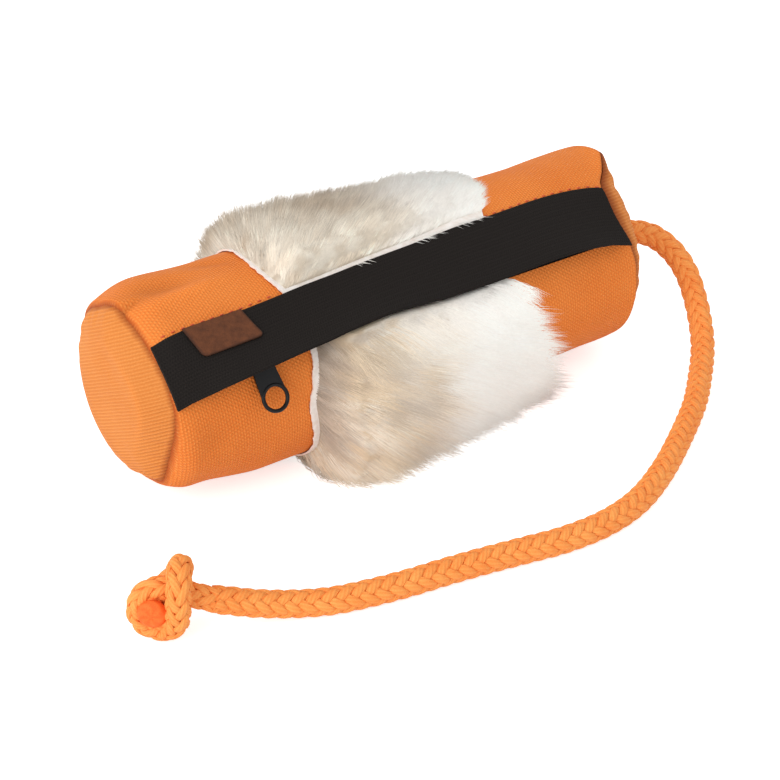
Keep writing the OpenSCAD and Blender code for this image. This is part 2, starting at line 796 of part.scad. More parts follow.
module rope_end_knot() {
    color("#f08a32") translate(end_knot_place) rotate([0, 0, end_knot_turn])
        mirror([0, 1, 0]) overhand_knot();
}

// The knot inside that keeps the rope from pulling out through its eyelet
module rope_anchor_knot() {
    color("#f08a32") translate([anchor_x, 0, axis_height] - knot_route[0]) overhand_knot();
}

// A flanged barrel set through the rear panel and its lining
module rope_eyelet() {
    color("#3a3a3c") translate([0, 0, axis_height]) rotate([0, 90, 0]) difference() {
        union() {
            translate([0, 0, washer_face - flange_thickness - 2 * eyelet_seat])
                cylinder(r = eyelet_outer, h = panel_apex + barrel_lip + flange_thickness - washer_face);
            translate([0, 0, panel_apex + eyelet_seat])
                cylinder(r = eyelet_outer + eyelet_flange, h = flange_thickness);
        }
        cylinder(r = eyelet_bore, h = 2 * panel_apex);
    }
}

// The washer that the barrel is set against inside
module eyelet_washer() {
    color("#3a3a3c") translate([washer_face - flange_thickness, 0, axis_height]) rotate([0, 90, 0])
        difference() {
            cylinder(r = eyelet_outer + eyelet_flange, h = flange_thickness);
            translate([0, 0, -cut_over]) cylinder(r = eyelet_outer + eyelet_seat, h = flange_thickness + 2 * cut_over);
        }
}

body_panel();
front_end_panel();
rear_end_panel();
lining_tube();
front_lining_disc();
rear_lining_disc();
front_seam_tape();
rear_seam_tape();
zip_tape_front();
zip_tape_rear();
zip_teeth_front();
zip_teeth_rear();
zip_top_stops();
zip_bottom_stop();
zip_slider();
slider_bridge();
zip_pull();
flap();
label();
fur_hide();
fur_pile();
fur_pile_front();
rope_eyelet();
eyelet_washer();
rope_anchor_knot();
throw_rope();
rope_end_knot();
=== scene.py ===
# Training bumper: a canvas treat tube with a fur band,
# a webbing flap over its zip and a braided throw rope.
# Helpers work in millimetres; meshes are written in metres, in the frame's own axes.
import json
import math

import bmesh
import bpy
import numpy as np
from mathutils import Matrix, Vector, kdtree


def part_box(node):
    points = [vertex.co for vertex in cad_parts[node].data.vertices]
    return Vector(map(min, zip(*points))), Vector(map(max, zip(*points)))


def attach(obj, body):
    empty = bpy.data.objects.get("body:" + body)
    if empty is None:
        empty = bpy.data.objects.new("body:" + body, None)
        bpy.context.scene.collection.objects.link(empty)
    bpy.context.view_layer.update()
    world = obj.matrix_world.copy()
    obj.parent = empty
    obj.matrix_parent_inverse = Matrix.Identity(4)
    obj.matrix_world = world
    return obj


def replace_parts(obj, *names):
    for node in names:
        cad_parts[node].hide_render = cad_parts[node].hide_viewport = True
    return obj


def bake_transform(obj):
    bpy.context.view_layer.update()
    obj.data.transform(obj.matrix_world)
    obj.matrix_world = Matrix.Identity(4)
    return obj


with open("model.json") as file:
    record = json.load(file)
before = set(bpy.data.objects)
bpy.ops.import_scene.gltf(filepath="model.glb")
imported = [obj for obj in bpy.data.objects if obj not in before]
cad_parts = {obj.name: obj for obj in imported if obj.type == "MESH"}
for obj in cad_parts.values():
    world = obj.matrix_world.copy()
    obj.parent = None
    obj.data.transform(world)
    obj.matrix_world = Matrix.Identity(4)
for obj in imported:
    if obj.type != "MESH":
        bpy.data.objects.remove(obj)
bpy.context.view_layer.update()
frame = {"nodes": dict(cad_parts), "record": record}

MM = 0.001


def box_mm(node):
    low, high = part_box(node)
    return np.array(low) / MM, np.array(high) / MM


# Driving sizes, from the frame where it holds them
body_low, body_high = box_mm("body_panel")
hide_low, hide_high = box_mm("fur_hide")
HALF_LENGTH = body_high[0]
TUBE_RADIUS = (body_high[2] - body_low[2]) / 2
AXIS_HEIGHT = (body_high[2] + body_low[2]) / 2
HIDE_LEFT, HIDE_RIGHT = hide_low[0], hide_high[0]
ZIP_ANGLE = 40.0
CANVAS = 1.2
SLOT_HALF = 6.0
FLAP_WIDTH = 25.0
FLAP_THICKNESS = 1.3
ROPE_RADIUS = 4.5
KNOT_RADIUS = 4.3


# Camera, as fitted to the photograph

CAMERA_EYE = Vector((-0.34916, -0.54818, 0.44851))
CAMERA_AZIMUTH = -33.277
CAMERA_ELEVATION = 34.245
CAMERA_ROLL = 0.441
CAMERA_LENS = 97.856
CAMERA_SENSOR = 36


def make_camera():
    azimuth = math.radians(CAMERA_AZIMUTH)
    elevation = math.radians(CAMERA_ELEVATION)
    back = Vector((
        math.sin(azimuth) * math.cos(elevation),
        -math.cos(azimuth) * math.cos(elevation),
        math.sin(elevation),
    ))
    level = Vector((math.cos(azimuth), math.sin(azimuth), 0))
    turn = Matrix.Rotation(math.radians(CAMERA_ROLL), 3, back)
    right = turn @ level
    up = back.cross(right)
    camera = bpy.data.objects.new("camera", bpy.data.cameras.new("camera"))
    camera.data.lens = CAMERA_LENS
    camera.data.sensor_width = CAMERA_SENSOR
    camera.matrix_world = Matrix((
        (right.x, up.x, back.x, CAMERA_EYE.x),
        (right.y, up.y, back.y, CAMERA_EYE.y),
        (right.z, up.z, back.z, CAMERA_EYE.z),
        (0, 0, 0, 1),
    ))
    bpy.context.collection.objects.link(camera)
    bpy.context.scene.camera = camera


make_camera()


# Material helpers

def srgb(red, green, blue):
    """A colour written as 8-bit sRGB, as linear RGBA."""
    values = np.array([red, green, blue]) / 255
    linear = np.where(values <= 0.04045, values / 12.92, ((values + 0.055) / 1.055) ** 2.4)
    return (*linear.tolist(), 1.0)


def new_material(name, roughness, **sockets):
    """A material with its node tree and its principled shader, whose plain sockets are set here."""
    material = bpy.data.materials.new(name)
    material.use_nodes = True
    tree = material.node_tree
    shader = tree.nodes["Principled BSDF"]
    shader.inputs["Roughness"].default_value = roughness
    for key, value in sockets.items():
        shader.inputs[key.replace("_", " ")].default_value = value
    return material, tree, shader


def node(tree, kind, inputs=None, **settings):
    made = tree.nodes.new("ShaderNode" + kind)
    for key, value in settings.items():
        setattr(made, key, value)
    for key, value in (inputs or {}).items():
        if isinstance(value, bpy.types.NodeSocket):
            tree.links.new(value, made.inputs[key])
        else:
            made.inputs[key].default_value = value
    return made


def calc(tree, operation, a, b=0.0, c=0.0):
    return node(tree, "Math", {0: a, 1: b, 2: c}, operation=operation).outputs[0]


def plus(tree, a, b):
    return calc(tree, "ADD", a, b)


def times(tree, a, b):
    return calc(tree, "MULTIPLY", a, b)


def mix(tree, factor, a, b):
    return node(tree, "Mix", {0: factor, 6: a, 7: b}, data_type="RGBA").outputs[2]


def noise(tree, vector, scale, detail=3.0, roughness=0.55):
    inputs = {"Vector": vector, "Scale": scale, "Detail": detail, "Roughness": roughness}
    return node(tree, "TexNoise", inputs).outputs["Fac"]


def spread(tree, value, low, high, to_low=0.0, to_high=1.0):
    inputs = {0: value, 1: low, 2: high, 3: to_low, 4: to_high}
    return node(tree, "MapRange", inputs).outputs[0]


def wave(tree, value, period):
    """A sine wave from -1 to 1 with that period."""
    return calc(tree, "SINE", times(tree, value, 2 * math.pi / period))


def flat_uv(tree, name):
    """The two flat coordinates of a piece, in millimetres, from one of its UV maps."""
    uv = node(tree, "UVMap", uv_map=name).outputs[0]
    parts = node(tree, "SeparateXYZ", {0: uv})
    return uv, parts.outputs[0], parts.outputs[1]


def object_mm(tree):
    """Object coordinates in millimetres."""
    here = node(tree, "TexCoord").outputs["Object"]
    return node(tree, "VectorMath", {0: here, "Scale": 1 / MM}, operation="SCALE").outputs[0]


def bump(tree, shader, height, distance_mm, strength=1.0):
    inputs = {"Height": height, "Distance": distance_mm * MM, "Strength": strength}
    tree.links.new(node(tree, "Bump", inputs).outputs[0], shader.inputs["Normal"])


def paint(tree, shader, colour):
    tree.links.new(colour, shader.inputs["Base Color"])


# Mesh helpers

SHEET_SHARP, DISC_SHARP = 50, 60


def grid_quads(index, closed=False):
    """The quads of a grid of point numbers; closed joins its last column to its first."""
    if closed:
        index = np.concatenate([index, index[:, :1]], axis=1)
    corners = (index[:-1, :-1], index[1:, :-1], index[1:, 1:], index[:-1, 1:])
    return np.stack([c.ravel() for c in corners], axis=1)


def build_object(name, points, quads=(), tris=(), sharp=None):
    """A smooth mesh object from points in millimetres; sharp is an angle past which edges stay crisp."""
    quads = np.asarray(quads, np.int32).reshape(-1, 4)
    tris = np.asarray(tris, np.int32).reshape(-1, 3)
    loops = np.concatenate([quads.ravel(), tris.ravel()])
    starts = np.concatenate([np.arange(len(quads)) * 4, len(quads) * 4 + np.arange(len(tris)) * 3])
    mesh = bpy.data.meshes.new(name)
    mesh.vertices.add(len(points))
    mesh.vertices.foreach_set("co", (np.asarray(points) * MM).astype(np.float32).ravel())
    mesh.loops.add(len(loops))
    mesh.loops.foreach_set("vertex_index", loops.astype(np.int32))
    mesh.polygons.add(len(starts))
    mesh.polygons.foreach_set("loop_start", starts.astype(np.int32))
    mesh.polygons.foreach_set("use_smooth", np.ones(len(starts), bool))
    mesh.update(calc_edges=True)
    if sharp:
        mesh.set_sharp_from_angle(angle=math.radians(sharp))
    made = bpy.data.objects.new(name, mesh)
    bpy.context.collection.objects.link(made)
    return made


def set_uv(made, name, per_point=None, per_loop=None):
    layer = made.data.uv_layers.new(name=name)
    if per_loop is None:
        loops = np.zeros(len(made.data.loops), np.int32)
        made.data.loops.foreach_get("vertex_index", loops)
        per_loop = np.asarray(per_point)[loops]
    layer.uv.foreach_set("vector", per_loop.astype(np.float32).ravel())


def set_colours(made, colours):
    """Writes one RGB colour per point, linear, to the attribute that the fur reads; the canvas reads it too,
    for its painted shade.
    """
    attribute = made.data.attributes.new("tint", "FLOAT_COLOR", "POINT")
    rgba = np.concatenate([colours, np.ones((len(colours), 1))], axis=1)
    attribute.data.foreach_set("color", rgba.astype(np.float32).ravel())


def wall(row, count):
    """The quads between a closed row of points and the same row count points later."""
    ahead = np.roll(row, -1)
    return np.stack([row, ahead, ahead + count, row + count], axis=1)


def thick_sheet(name, top, walls, outer, inner, flat, sharp):
    """Two grids of points joined by walls, turned to face outward; flat holds coordinates in millimetres."""
    points = np.concatenate([outer.reshape(-1, 3), inner.reshape(-1, 3)])
    count = len(points) // 2
    quads = np.concatenate([top, top[:, ::-1] + count, *walls])
    middle = top[len(top) // 2]
    facing = np.cross(points[middle[1]] - points[middle[0]], points[middle[3]] - points[middle[0]])
    if facing @ (points[middle[0]] - points[middle[0] + count]) < 0:
        quads = quads[:, ::-1]
    made = build_object(name, points, quads, sharp=sharp)
    set_uv(made, "flat", np.tile(flat.reshape(-1, 2), (2, 1)))
    return made


def sheet_object(name, outer, inner, flat):
    """A closed sheet between two grids of points."""
    rows, columns = outer.shape[:2]
    index = np.arange(rows * columns).reshape(rows, columns)
    rim = np.concatenate([index[0], index[1:, -1], index[-1, -2::-1], index[-2:0:-1, 0]])
    walls = [wall(rim, index.size)]
    return thick_sheet(name, grid_quads(index), walls, outer, inner, flat, SHEET_SHARP)


def closed_disc(name, outer, inner, flat):
    """A closed ring-shaped sheet; its inner circle may be a small hole or nearly a point."""
    rows, columns = outer.shape[:2]
    index = np.arange(rows * columns).reshape(rows, columns)
    walls = [wall(index[0], index.size), wall(index[-1], index.size)[:, ::-1]]
    return thick_sheet(name, grid_quads(index, closed=True), walls, outer, inner, flat, DISC_SHARP)


def tube_point(x, radius, angle):
    """A point round the tube's axis; the angle is above the horizontal front, in degrees."""
    turn = np.radians(angle)
    x, radius, turn = np.broadcast_arrays(x, radius, turn)
    return np.stack([x, -radius * np.cos(turn), AXIS_HEIGHT + radius * np.sin(turn)], axis=-1)


def outward(angle):
    """The direction away from the tube's axis."""
    return tube_point(0, 1.0, angle) - np.array([0, 0, AXIS_HEIGHT])


def wrap(angle, low=-180):
    """The same angle within one turn from low."""
    return (angle - low) % 360 + low


def unrolled(x, angle):
    """Flat coordinates of points on the tube."""
    return np.stack([x, np.radians(angle) * TUBE_RADIUS], axis=-1)


def disc_flat(radius, angle):
    """Flat coordinates of points on an end panel."""
    return np.stack([radius * np.cos(np.radians(angle)), radius * np.sin(np.radians(angle))], axis=-1)


def around(angle, knots, width=9):
    """A smooth closed curve through (angle, value) pairs, all round the tube."""
    angles, values = np.array(sorted(knots), float).T
    angles = np.concatenate([angles[-3:] - 360, angles, angles[:3] + 360])
    values = np.concatenate([values[-3:], values, values[:3]])
    fine = np.arange(-200, 201)
    weights = np.hanning(width + 2)
    rough = np.interp(np.arange(-260, 261), angles, values)
    smooth = np.convolve(rough, weights / weights.sum(), mode="same")
    return np.interp(wrap(np.asarray(angle)), fine, smooth[60:-60])


def along_tube(x, knots, width=1):
    """A curve along the tube through (x, value) pairs, smoothed over a width in millimetres."""
    places, values = np.array(knots, float).T
    fine = np.arange(-160, 161, 0.5)
    weights = np.hanning(2 * width + 3)
    smooth = np.convolve(np.interp(fine, places, values), weights / weights.sum(), mode="same")
    return np.interp(x, fine[80:-80], smooth[80:-80])


def unit(vectors):
    return vectors / np.linalg.norm(vectors, axis=-1, keepdims=True)


def hump(value, middle, width):
    return np.exp(-((value - middle) / width) ** 2)


def dress(made, material, body, slot, *nodes):
    """Gives a piece its material, its body and the CAD nodes that it stands for; the slot argument is not
    used.
    """
    made.data.materials.append(material)
    if body:
        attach(made, body)
    if nodes:
        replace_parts(made, *nodes)
    return made


# Rope and knot

ROPE_ROUTE = [
    (98.4, 0, 39), (105.4, 0, 39), (115.4, -2, 39), (125.4, -7, 37), (131, -14, 32), (133, -22, 25),
    (131.2, -31, 17), (127.2, -40, 10), (121.8, -47.6, 6), (112.6, -57.4, 4.5), (99, -70.6, 4.5),
    (81, -84.4, 4.5), (62, -97.2, 4.5), (44, -106.2, 4.5), (27, -110, 4.5),
    (10, -109.8, 4.5), (-5, -107.2, 4.5),
    (-19, -104.6, 4.5), (-33, -102.4, 4.5), (-47, -100.6, 4.5), (-61, -98, 4.5), (-74, -94.6, 4.6),
    (-86, -89.8, 5.4), (-97, -85.8, 7.8), (-105, -82.8, 10.4), (-109.5, -81.2, 11.8),
]
# Overhand knot, from where the rope comes in to its cut end: right, toward the front, up
KNOT_ROUTE = [
    (17, -3, 11.6), (12, -2.5, 13.6), (7, -2, 15.6), (0, -1, 18), (-5, 0, 16.5), (-7.2, 0.5, 11),
    (-5.4, 1, 6), (-1, 2, 4.6), (3, 3.6, 6), (5.4, 5.2, 10.5), (6, 5.4, 16.5), (6.3, 4, 22),
    (6.3, -1.5, 24.6), (6.2, -6.5, 22.5), (4.5, -9, 17.5), (1.5, -9, 13.6), (-1, -6, 12.4), (-2, 0, 12.4),
    (-2.4, 5.5, 12.8),
]
KNOT_PLACE = np.array([-125.0, -75.0, 0.0])
KNOT_TURN = math.radians(-32.5)
ROPE_EXIT = 103.6
BRAID_PITCH = 30.0
BRAID_LEAN = 0.04
BRAID_TURN = math.radians(-30)
STRAND_HALF_WIDTH = 1.46
STRAND_HALF_THICKNESS = 0.9
STRAND_SWING = 0.55
BRAID_CORE = 0.66
STRANDS_EACH_WAY = 6
STRAND_SIDES, CORE_SIDES, CAP_SIDES = 8, 12, 40
STRAND_SWELL = 0.08
ROPE_FULLNESS = 1.05
ANCHOR_KNOT_RADIUS = 3.2


def curve_through(points, spacing):
    """A smooth curve through the points, resampled at an even spacing."""
    p = np.array(points, float)
    ends = np.concatenate([p[:1], p, p[-1:]])
    a, b, c, d = (ends[i:len(ends) - 3 + i][:, None] for i in range(4))
    u = np.linspace(0, 1, 24, endpoint=False)[None, :, None]
    bend, twist = 2 * a - 5 * b + 4 * c - d, 3 * b - a - 3 * c + d
    dense = (2 * b + (c - a) * u + bend * u ** 2 + twist * u ** 3) / 2
    dense = np.concatenate([dense.reshape(-1, 3), p[-1:]])
    along = np.concatenate([[0], np.cumsum(np.linalg.norm(np.diff(dense, axis=0), axis=1))])
    even = np.linspace(0, along[-1], int(along[-1] / spacing) + 1)
    return np.stack([np.interp(even, along, dense[:, i]) for i in range(3)], axis=1), even


def sides_along(path, first=(0.2, 0.1, 1)):
    """Tangents and two side directions, carried along the path without twist."""
    tangents = unit(np.gradient(path, axis=0))
    normals = np.zeros_like(path)
    side = np.array(first, float)
    for i, tangent in enumerate(tangents):
        side = side - (side @ tangent) * tangent
        side = side / np.linalg.norm(side)
        normals[i] = side
    return tangents, normals, np.cross(tangents, normals)


def ring_tube(path, sides_a, sides_b, half_a, half_b, count):
    """Rings of points round a path, with an oval cross-section."""
    turn = np.linspace(0, 2 * np.pi, count, endpoint=False)[None, :, None]
    half_a, half_b = (np.broadcast_to(h, len(path))[:, None, None] for h in (half_a, half_b))
    out_a, out_b = half_a * np.cos(turn) * sides_a[:, None], half_b * np.sin(turn) * sides_b[:, None]
    return path[:, None] + out_a + out_b


def capped_tubes(name, tubes):
    """One object from several closed tubes; each is its rings and its lengths along."""
    points, quads, tris, uvs, cap_uvs, base = [], [], [], [], [], 0
    for rings, along in tubes:
        rows, columns = rings.shape[:2]
        index = base + np.arange(rows * columns).reshape(rows, columns)
        quads.append(grid_quads(index, closed=True))
        flat = np.stack(np.meshgrid(along, np.arange(columns + 1) / columns, indexing="ij"), axis=-1)
        cell = np.arange(rows * (columns + 1)).reshape(rows, columns + 1)
        uvs.append(flat.reshape(-1, 2)[grid_quads(cell)].reshape(-1, 2))
        first, last = base + rows * columns, base + rows * columns + 1
        tris.append(np.stack([np.full(columns, first), index[0], np.roll(index[0], -1)], axis=1))
        tris.append(np.stack([np.full(columns, last), np.roll(index[-1], -1), index[-1]], axis=1))
        cap_uvs.append(np.repeat([[along[0], 0.5], [along[-1], 0.5]], 3 * columns, axis=0))
        points += [rings.reshape(-1, 3), rings[:1].mean(axis=1), rings[-1:].mean(axis=1)]
        base = last + 1
    quads, tris = np.concatenate(quads)[:, ::-1], np.concatenate(tris)[:, ::-1]
    made = build_object(name, np.concatenate(points), quads, tris)
    side_uvs = np.concatenate(uvs).reshape(-1, 4, 2)[:, ::-1].reshape(-1, 2)
    set_uv(made, "strand", per_loop=np.concatenate([side_uvs] + cap_uvs))
    return made


def braid(name, path, along, radius):
    """A plaited rope: strands that wind both ways, each over two and under two, in six columns."""
    scale = radius / ROPE_RADIUS
    middle = (ROPE_RADIUS - STRAND_HALF_THICKNESS - STRAND_SWING) * scale
    _, normals, binormals = sides_along(path)
    tubes = []
    for way in (1, -1):
        for k in range(STRANDS_EACH_WAY):
            u = 2 * np.pi * along / BRAID_PITCH + k * 2 * np.pi / STRANDS_EACH_WAY
            turn = BRAID_TURN + way * (u + BRAID_LEAN * np.cos(3 * u + way * np.pi / 4))
            over = np.tanh(2 * np.sin(3 * u + way * np.pi / 4)) / np.tanh(2)
            out = np.cos(turn)[:, None] * normals + np.sin(turn)[:, None] * binormals
            line = path + (middle + STRAND_SWING * scale * over)[:, None] * out
            ahead = unit(np.gradient(line, axis=0))
            out = unit(out - (out * ahead).sum(axis=1, keepdims=True) * ahead)
            swell = 1 + STRAND_SWELL * over
            half_width = STRAND_HALF_WIDTH * scale * swell
            half_thickness = STRAND_HALF_THICKNESS * scale
            rings = ring_tube(line, np.cross(out, ahead), out, half_width, half_thickness, STRAND_SIDES)
            tubes.append((rings, along))
    core = ring_tube(path, normals, binormals, BRAID_CORE * radius, BRAID_CORE * radius, CORE_SIDES)
    tubes.append((core, along))
    return capped_tubes(name, tubes)


def rope_material(name, light, dark):
    material, tree, shader = new_material(name, 0.62, Specular_IOR_Level=0.2)
    _, along, turn = flat_uv(tree, "strand")
    here = object_mm(tree)
    twist = plus(tree, times(tree, turn, 6.0), times(tree, along, 0.45))
    yarn = wave(tree, twist, 1.0)
    fuzz = noise(tree, here, 2.6, 4.0)
    blotch = noise(tree, here, 0.12, 2.0)
    shade = plus(tree, times(tree, yarn, 0.22), spread(tree, fuzz, 0.3, 0.7, -0.4, 0.4))
    shade = plus(tree, shade, spread(tree, blotch, 0.3, 0.7, -0.25, 0.25))
    tone = spread(tree, shade, -0.9, 0.6)
    paint(tree, shader, mix(tree, tone, dark, light))
    bump(tree, shader, plus(tree, yarn, fuzz), 0.10, 0.7)
    return material


rope_finish = rope_material("braided_rope", srgb(255, 172, 92), srgb(246, 126, 48))
rope_path, rope_along = curve_through(ROPE_ROUTE, 0.8)
start = int(np.argmax(rope_path[:, 0] > ROPE_EXIT - 1.2))
rope_path, rope_along = rope_path[start:], rope_along[start:] - rope_along[start]
rope = braid("throw_rope_braid", rope_path, rope_along, ROPE_FULLNESS * ROPE_RADIUS)
dress(rope, rope_finish, "body", "rope", "throw_rope")


def place_knot(points):
    right, front, up = points.T
    cosine, sine = math.cos(KNOT_TURN), math.sin(KNOT_TURN)
    return KNOT_PLACE + np.stack([
        right * cosine + front * sine,
        right * sine - front * cosine,
        up,
    ], axis=1)


knot_path, knot_along = curve_through(place_knot(np.array(KNOT_ROUTE, float)), 0.55)
knot = braid("end_knot_braid", knot_path, knot_along, KNOT_RADIUS)
dress(knot, rope_finish, "body", "rope", "rope_end_knot")


def make_cut_end(path):
    """The rope's melted cut end: a smooth cap, redder than the yarn."""
    ahead = unit(path[-1] - path[-4])
    side_a = unit(np.cross(ahead, np.array([0, 0, 1.0])))
    shape = np.array([(-2, 4.4), (-0.6, 4.9), (0.4, 4.7), (1.1, 3.9), (1.5, 2.7), (1.6, 1.3), (1.62, 0.3)])
    line = path[-1] + shape[:, :1] * ahead
    sides_a = np.tile(side_a, (len(shape), 1))
    sides_b = np.cross(np.tile(ahead, (len(shape), 1)), sides_a)
    rings = ring_tube(line, sides_a, sides_b, shape[:, 1], shape[:, 1], CAP_SIDES)
    made = capped_tubes("rope_cut_end", [(rings, shape[:, 0])])
    melted = rope_material("melted_rope", srgb(252, 128, 56), srgb(234, 90, 30))
    return dress(made, melted, "body", "rope")


cut_end = make_cut_end(knot_path)


# Canvas tube and its end panels

def smooth_step(value, low, high):
    t = np.clip((value - low) / (high - low), 0, 1)
    return t * t * (3 - 2 * t)


CREASE = 1.5
CREASE_REACH = 1.5
# Painted shade in the seam creases: the darkest share of the colour on the tube's folded edge and on the end
# panels, and how far each reaches
FOLD_SHADE, SEAM_SHADE = 0.38, 0.24
FOLD_REACH, SEAM_REACH = 0.8, 1.9
# Painted shade in the folds' hollows and painted highlight on their ridges, as a share per millimetre of fold
FOLD_SHADE_AND_HIGHLIGHT = 0.07
LEFT_SEAM = [
    (-180, 35.4), (-140, 35), (-100, 33.6), (-72, 32), (-50, 33), (-40, 31.4), (-28, 30), (-10, 30.6),
    (5, 33.4), (17, 35.6), (22, 36), (42, 34.8), (58, 33), (70, 32.6), (89, 32.6), (96, 35.4), (121, 33.4),
    (147, 35.2),
]
LEFT_SEAM_X = [(-180, 0.6), (-60, 0), (60, 0), (84, 0.2), (92, 0.4), (97, 1.6), (124, 2.2), (150, 1.6)]
# How far from its end seams the canvas begins to draw in
LEFT_ROLL = [(-180, 20), (-90, 22), (-62, 18), (-48, 8), (50, 8), (75, 11), (95, 14)]
RIGHT_ROLL = [(-180, 12), (-70, 8), (60, 8), (90, 9), (120, 12)]
RIGHT_SEAM = [
    (-180, 34.5), (-140, 34), (-100, 33.6), (-60, 36.4), (-30, 37.2), (0, 36.8), (15, 36.6), (26, 36.8),
    (47, 36.2), (62, 35.8), (70, 35.4), (74, 36.6), (82, 37.2), (90, 37.8), (110, 36.6), (124, 35.8),
    (150, 35),
]
RIGHT_SEAM_X = [
    (-180, 5), (-100, 2), (-60, 2.6), (-30, 1.8), (0, 1.2), (15, 1), (26, -0.4), (35, -2), (47, -2.8),
    (62, -2), (70, 0), (74, 2.6), (82, 6), (90, 9.2), (104, 9.4), (124, 8.8), (150, 7),
]
TOP_SWELL = [
    (-100, 0.8), (-90, 2.1), (-84, 2.1), (-72, 1.5), (-60, 1.1), (-45, 0.9), (0, 0.3), (60, -0.6),
    (75, -0.8), (88, 0),
]
FRONT_SWELL = [
    (-92, 0), (-80, 0.5), (-73, 1.5), (-62, 2.7), (-50, 3), (0, 2.6), (69, 2), (83, 1.4), (95, 1.2),
]
# Soft folds: height, angle, its lean along the tube and from where, half width round, place, half width along
CANVAS_FOLDS = [
    (1.3, 82, 0.15, -84, 5, -76, 17), (-2.3, 97, -0.1, -84, 7, -80, 12), (-1.1, 106, -0.4, -60, 5, -58, 8),
    (-0.8, -4, 0, 0, 10, -82, 8), (-0.5, -40, 0, 0, 16, 70, 12),
]
# The pinch in the canvas at its left seam, on top, and the painted shade in it
PINCH_ANGLE, PINCH_REACH, PINCH_DEPTH, PINCH_SHADE = 91.5, 9, 1.4, 0.3
TOP_SWELL_ANGLE, TOP_SWELL_WIDTH = 124, 34
FRONT_SWELL_ANGLE, FRONT_SWELL_WIDTH = -50, 36


def seam_place(side, angle):
    """Where an end seam runs: its distance along the tube and its radius, all round."""
    if side < 0:
        return -HALF_LENGTH - around(angle, LEFT_SEAM_X), around(angle, LEFT_SEAM)
    return HALF_LENGTH + around(angle, RIGHT_SEAM_X), around(angle, RIGHT_SEAM)


def canvas_folds(x, wrapped):
    """Soft folds and hollows near the ends, in millimetres."""
    folds = 0
    for height, angle, lean, lean_from, half_round, place, half_along in CANVAS_FOLDS:
        ridge = hump(wrapped, angle + lean * (x - lean_from), half_round)
        folds = folds + height * ridge * hump(x, place, half_along)
    return folds


def canvas_radius(x, angle):
    """The canvas's outer radius: round and slack, drawn in at the seams, with soft folds near them."""
    wrapped = wrap(angle)
    radius = np.full(np.broadcast(x, angle).shape, TUBE_RADIUS, float)
    radius += along_tube(x, TOP_SWELL, 8) * hump(wrapped, TOP_SWELL_ANGLE, TOP_SWELL_WIDTH)
    radius += along_tube(x, FRONT_SWELL, 8) * hump(wrapped, FRONT_SWELL_ANGLE, FRONT_SWELL_WIDTH)
    radius += canvas_folds(x, wrapped)
    radius += 0.12 * np.sin(x / 7.3 + np.radians(3 * angle))
    radius += 0.1 * np.sin(x / 4.1 - np.radians(5 * angle))
    for side in (-1, 1):
        seam_x, seam_radius = seam_place(side, angle)
        inside = side * (seam_x - x)
        roll = around(angle, LEFT_ROLL if side < 0 else RIGHT_ROLL)
        radius -= (radius - seam_radius) * np.clip(1 - inside / roll, 0, 1) ** 2.4
        edge = np.clip(1 - inside / CREASE_REACH, 0, 1)
        radius -= CREASE * (1 - np.sqrt(1 - edge ** 2))
    by_seam = np.clip(1 - (x + HALF_LENGTH) / PINCH_REACH, 0, 1)
    return radius - PINCH_DEPTH * hump(wrapped, PINCH_ANGLE, 2) * by_seam


def canvas_material(name, light, dark, ribs, weights):
    """Coarse coated weave: two sets of ribs by turn and pitch, a third between them, and their weights."""
    material, tree, shader = new_material(name, 0.7, Specular_IOR_Level=0.15)
    uv, u, v = flat_uv(tree, "flat")
    wobble = spread(tree, noise(tree, uv, 0.25, 2.0), 0.3, 0.7, -0.12, 0.12)
    u = plus(tree, u, wobble)
    phases = []
    for turn, pitch in ribs:
        turn, scale = math.radians(turn), 2 * math.pi / pitch
        across = times(tree, v, scale * math.sin(turn))
        phases.append(calc(tree, "MULTIPLY_ADD", u, scale * math.cos(turn), across))
    phases.append(calc(tree, "SUBTRACT", *phases))
    weave = 0.0
    for phase, weight in zip(phases, weights):
        weave = calc(tree, "MULTIPLY_ADD", calc(tree, "COSINE", phase), weight, weave)
    threads = noise(tree, uv, 1.7, 3.0, 0.7)
    broad = noise(tree, uv, 0.035, 2.0)
    yarns = spread(tree, threads, 0.3, 0.7, 0.28, 0.72)
    tone = plus(tree, times(tree, weave, 0.5), yarns)
    tone = plus(tree, tone, spread(tree, broad, 0.3, 0.7, -0.14, 0.14))
    cloth = mix(tree, calc(tree, "MINIMUM", calc(tree, "MAXIMUM", tone, 0.0), 1.0), dark, light)
    # The tint attribute holds the painted shade of the seams, the pinch and the folds, and the painted
    # highlight on the folds' ridges
    shade = node(tree, "Attribute", attribute_name="tint").outputs["Color"]
    paint(tree, shader, node(tree, "VectorMath", {0: cloth, 1: shade}, operation="MULTIPLY").outputs[0])
    bump(tree, shader, plus(tree, weave, times(tree, threads, 0.5)), 0.19, 1.0)
    return material


TUBE_RIBS, TUBE_WEIGHTS = [(5, 1.03), (50, 1.12)], (0.36, 0.34, 0.3)
END_RIBS, END_WEIGHTS = [(122, 1.18), (40, 1.2)], (0.6, 0.15, 0.1)
TUBE_LIGHT, TUBE_DARK = srgb(246, 148, 70), srgb(220, 110, 38)
END_LIGHT, END_DARK = srgb(234, 150, 78), srgb(214, 123, 52)
tube_canvas = canvas_material("tube_canvas", TUBE_LIGHT, TUBE_DARK, TUBE_RIBS, TUBE_WEIGHTS)
end_canvas = canvas_material("end_canvas", END_LIGHT, END_DARK, END_RIBS, END_WEIGHTS)
TUBE_ROWS, TUBE_COLUMNS = 220, 260


def seam_shade(inside, darkest, reach):
    """Painted shade in the crease of a seam: how far the cloth's colour darkens, by its distance from it."""
    shade = darkest + (1 - darkest) * np.clip(inside / reach, 0, 1)
    return np.stack([shade ** 0.7, shade, shade ** 1.1], axis=-1)


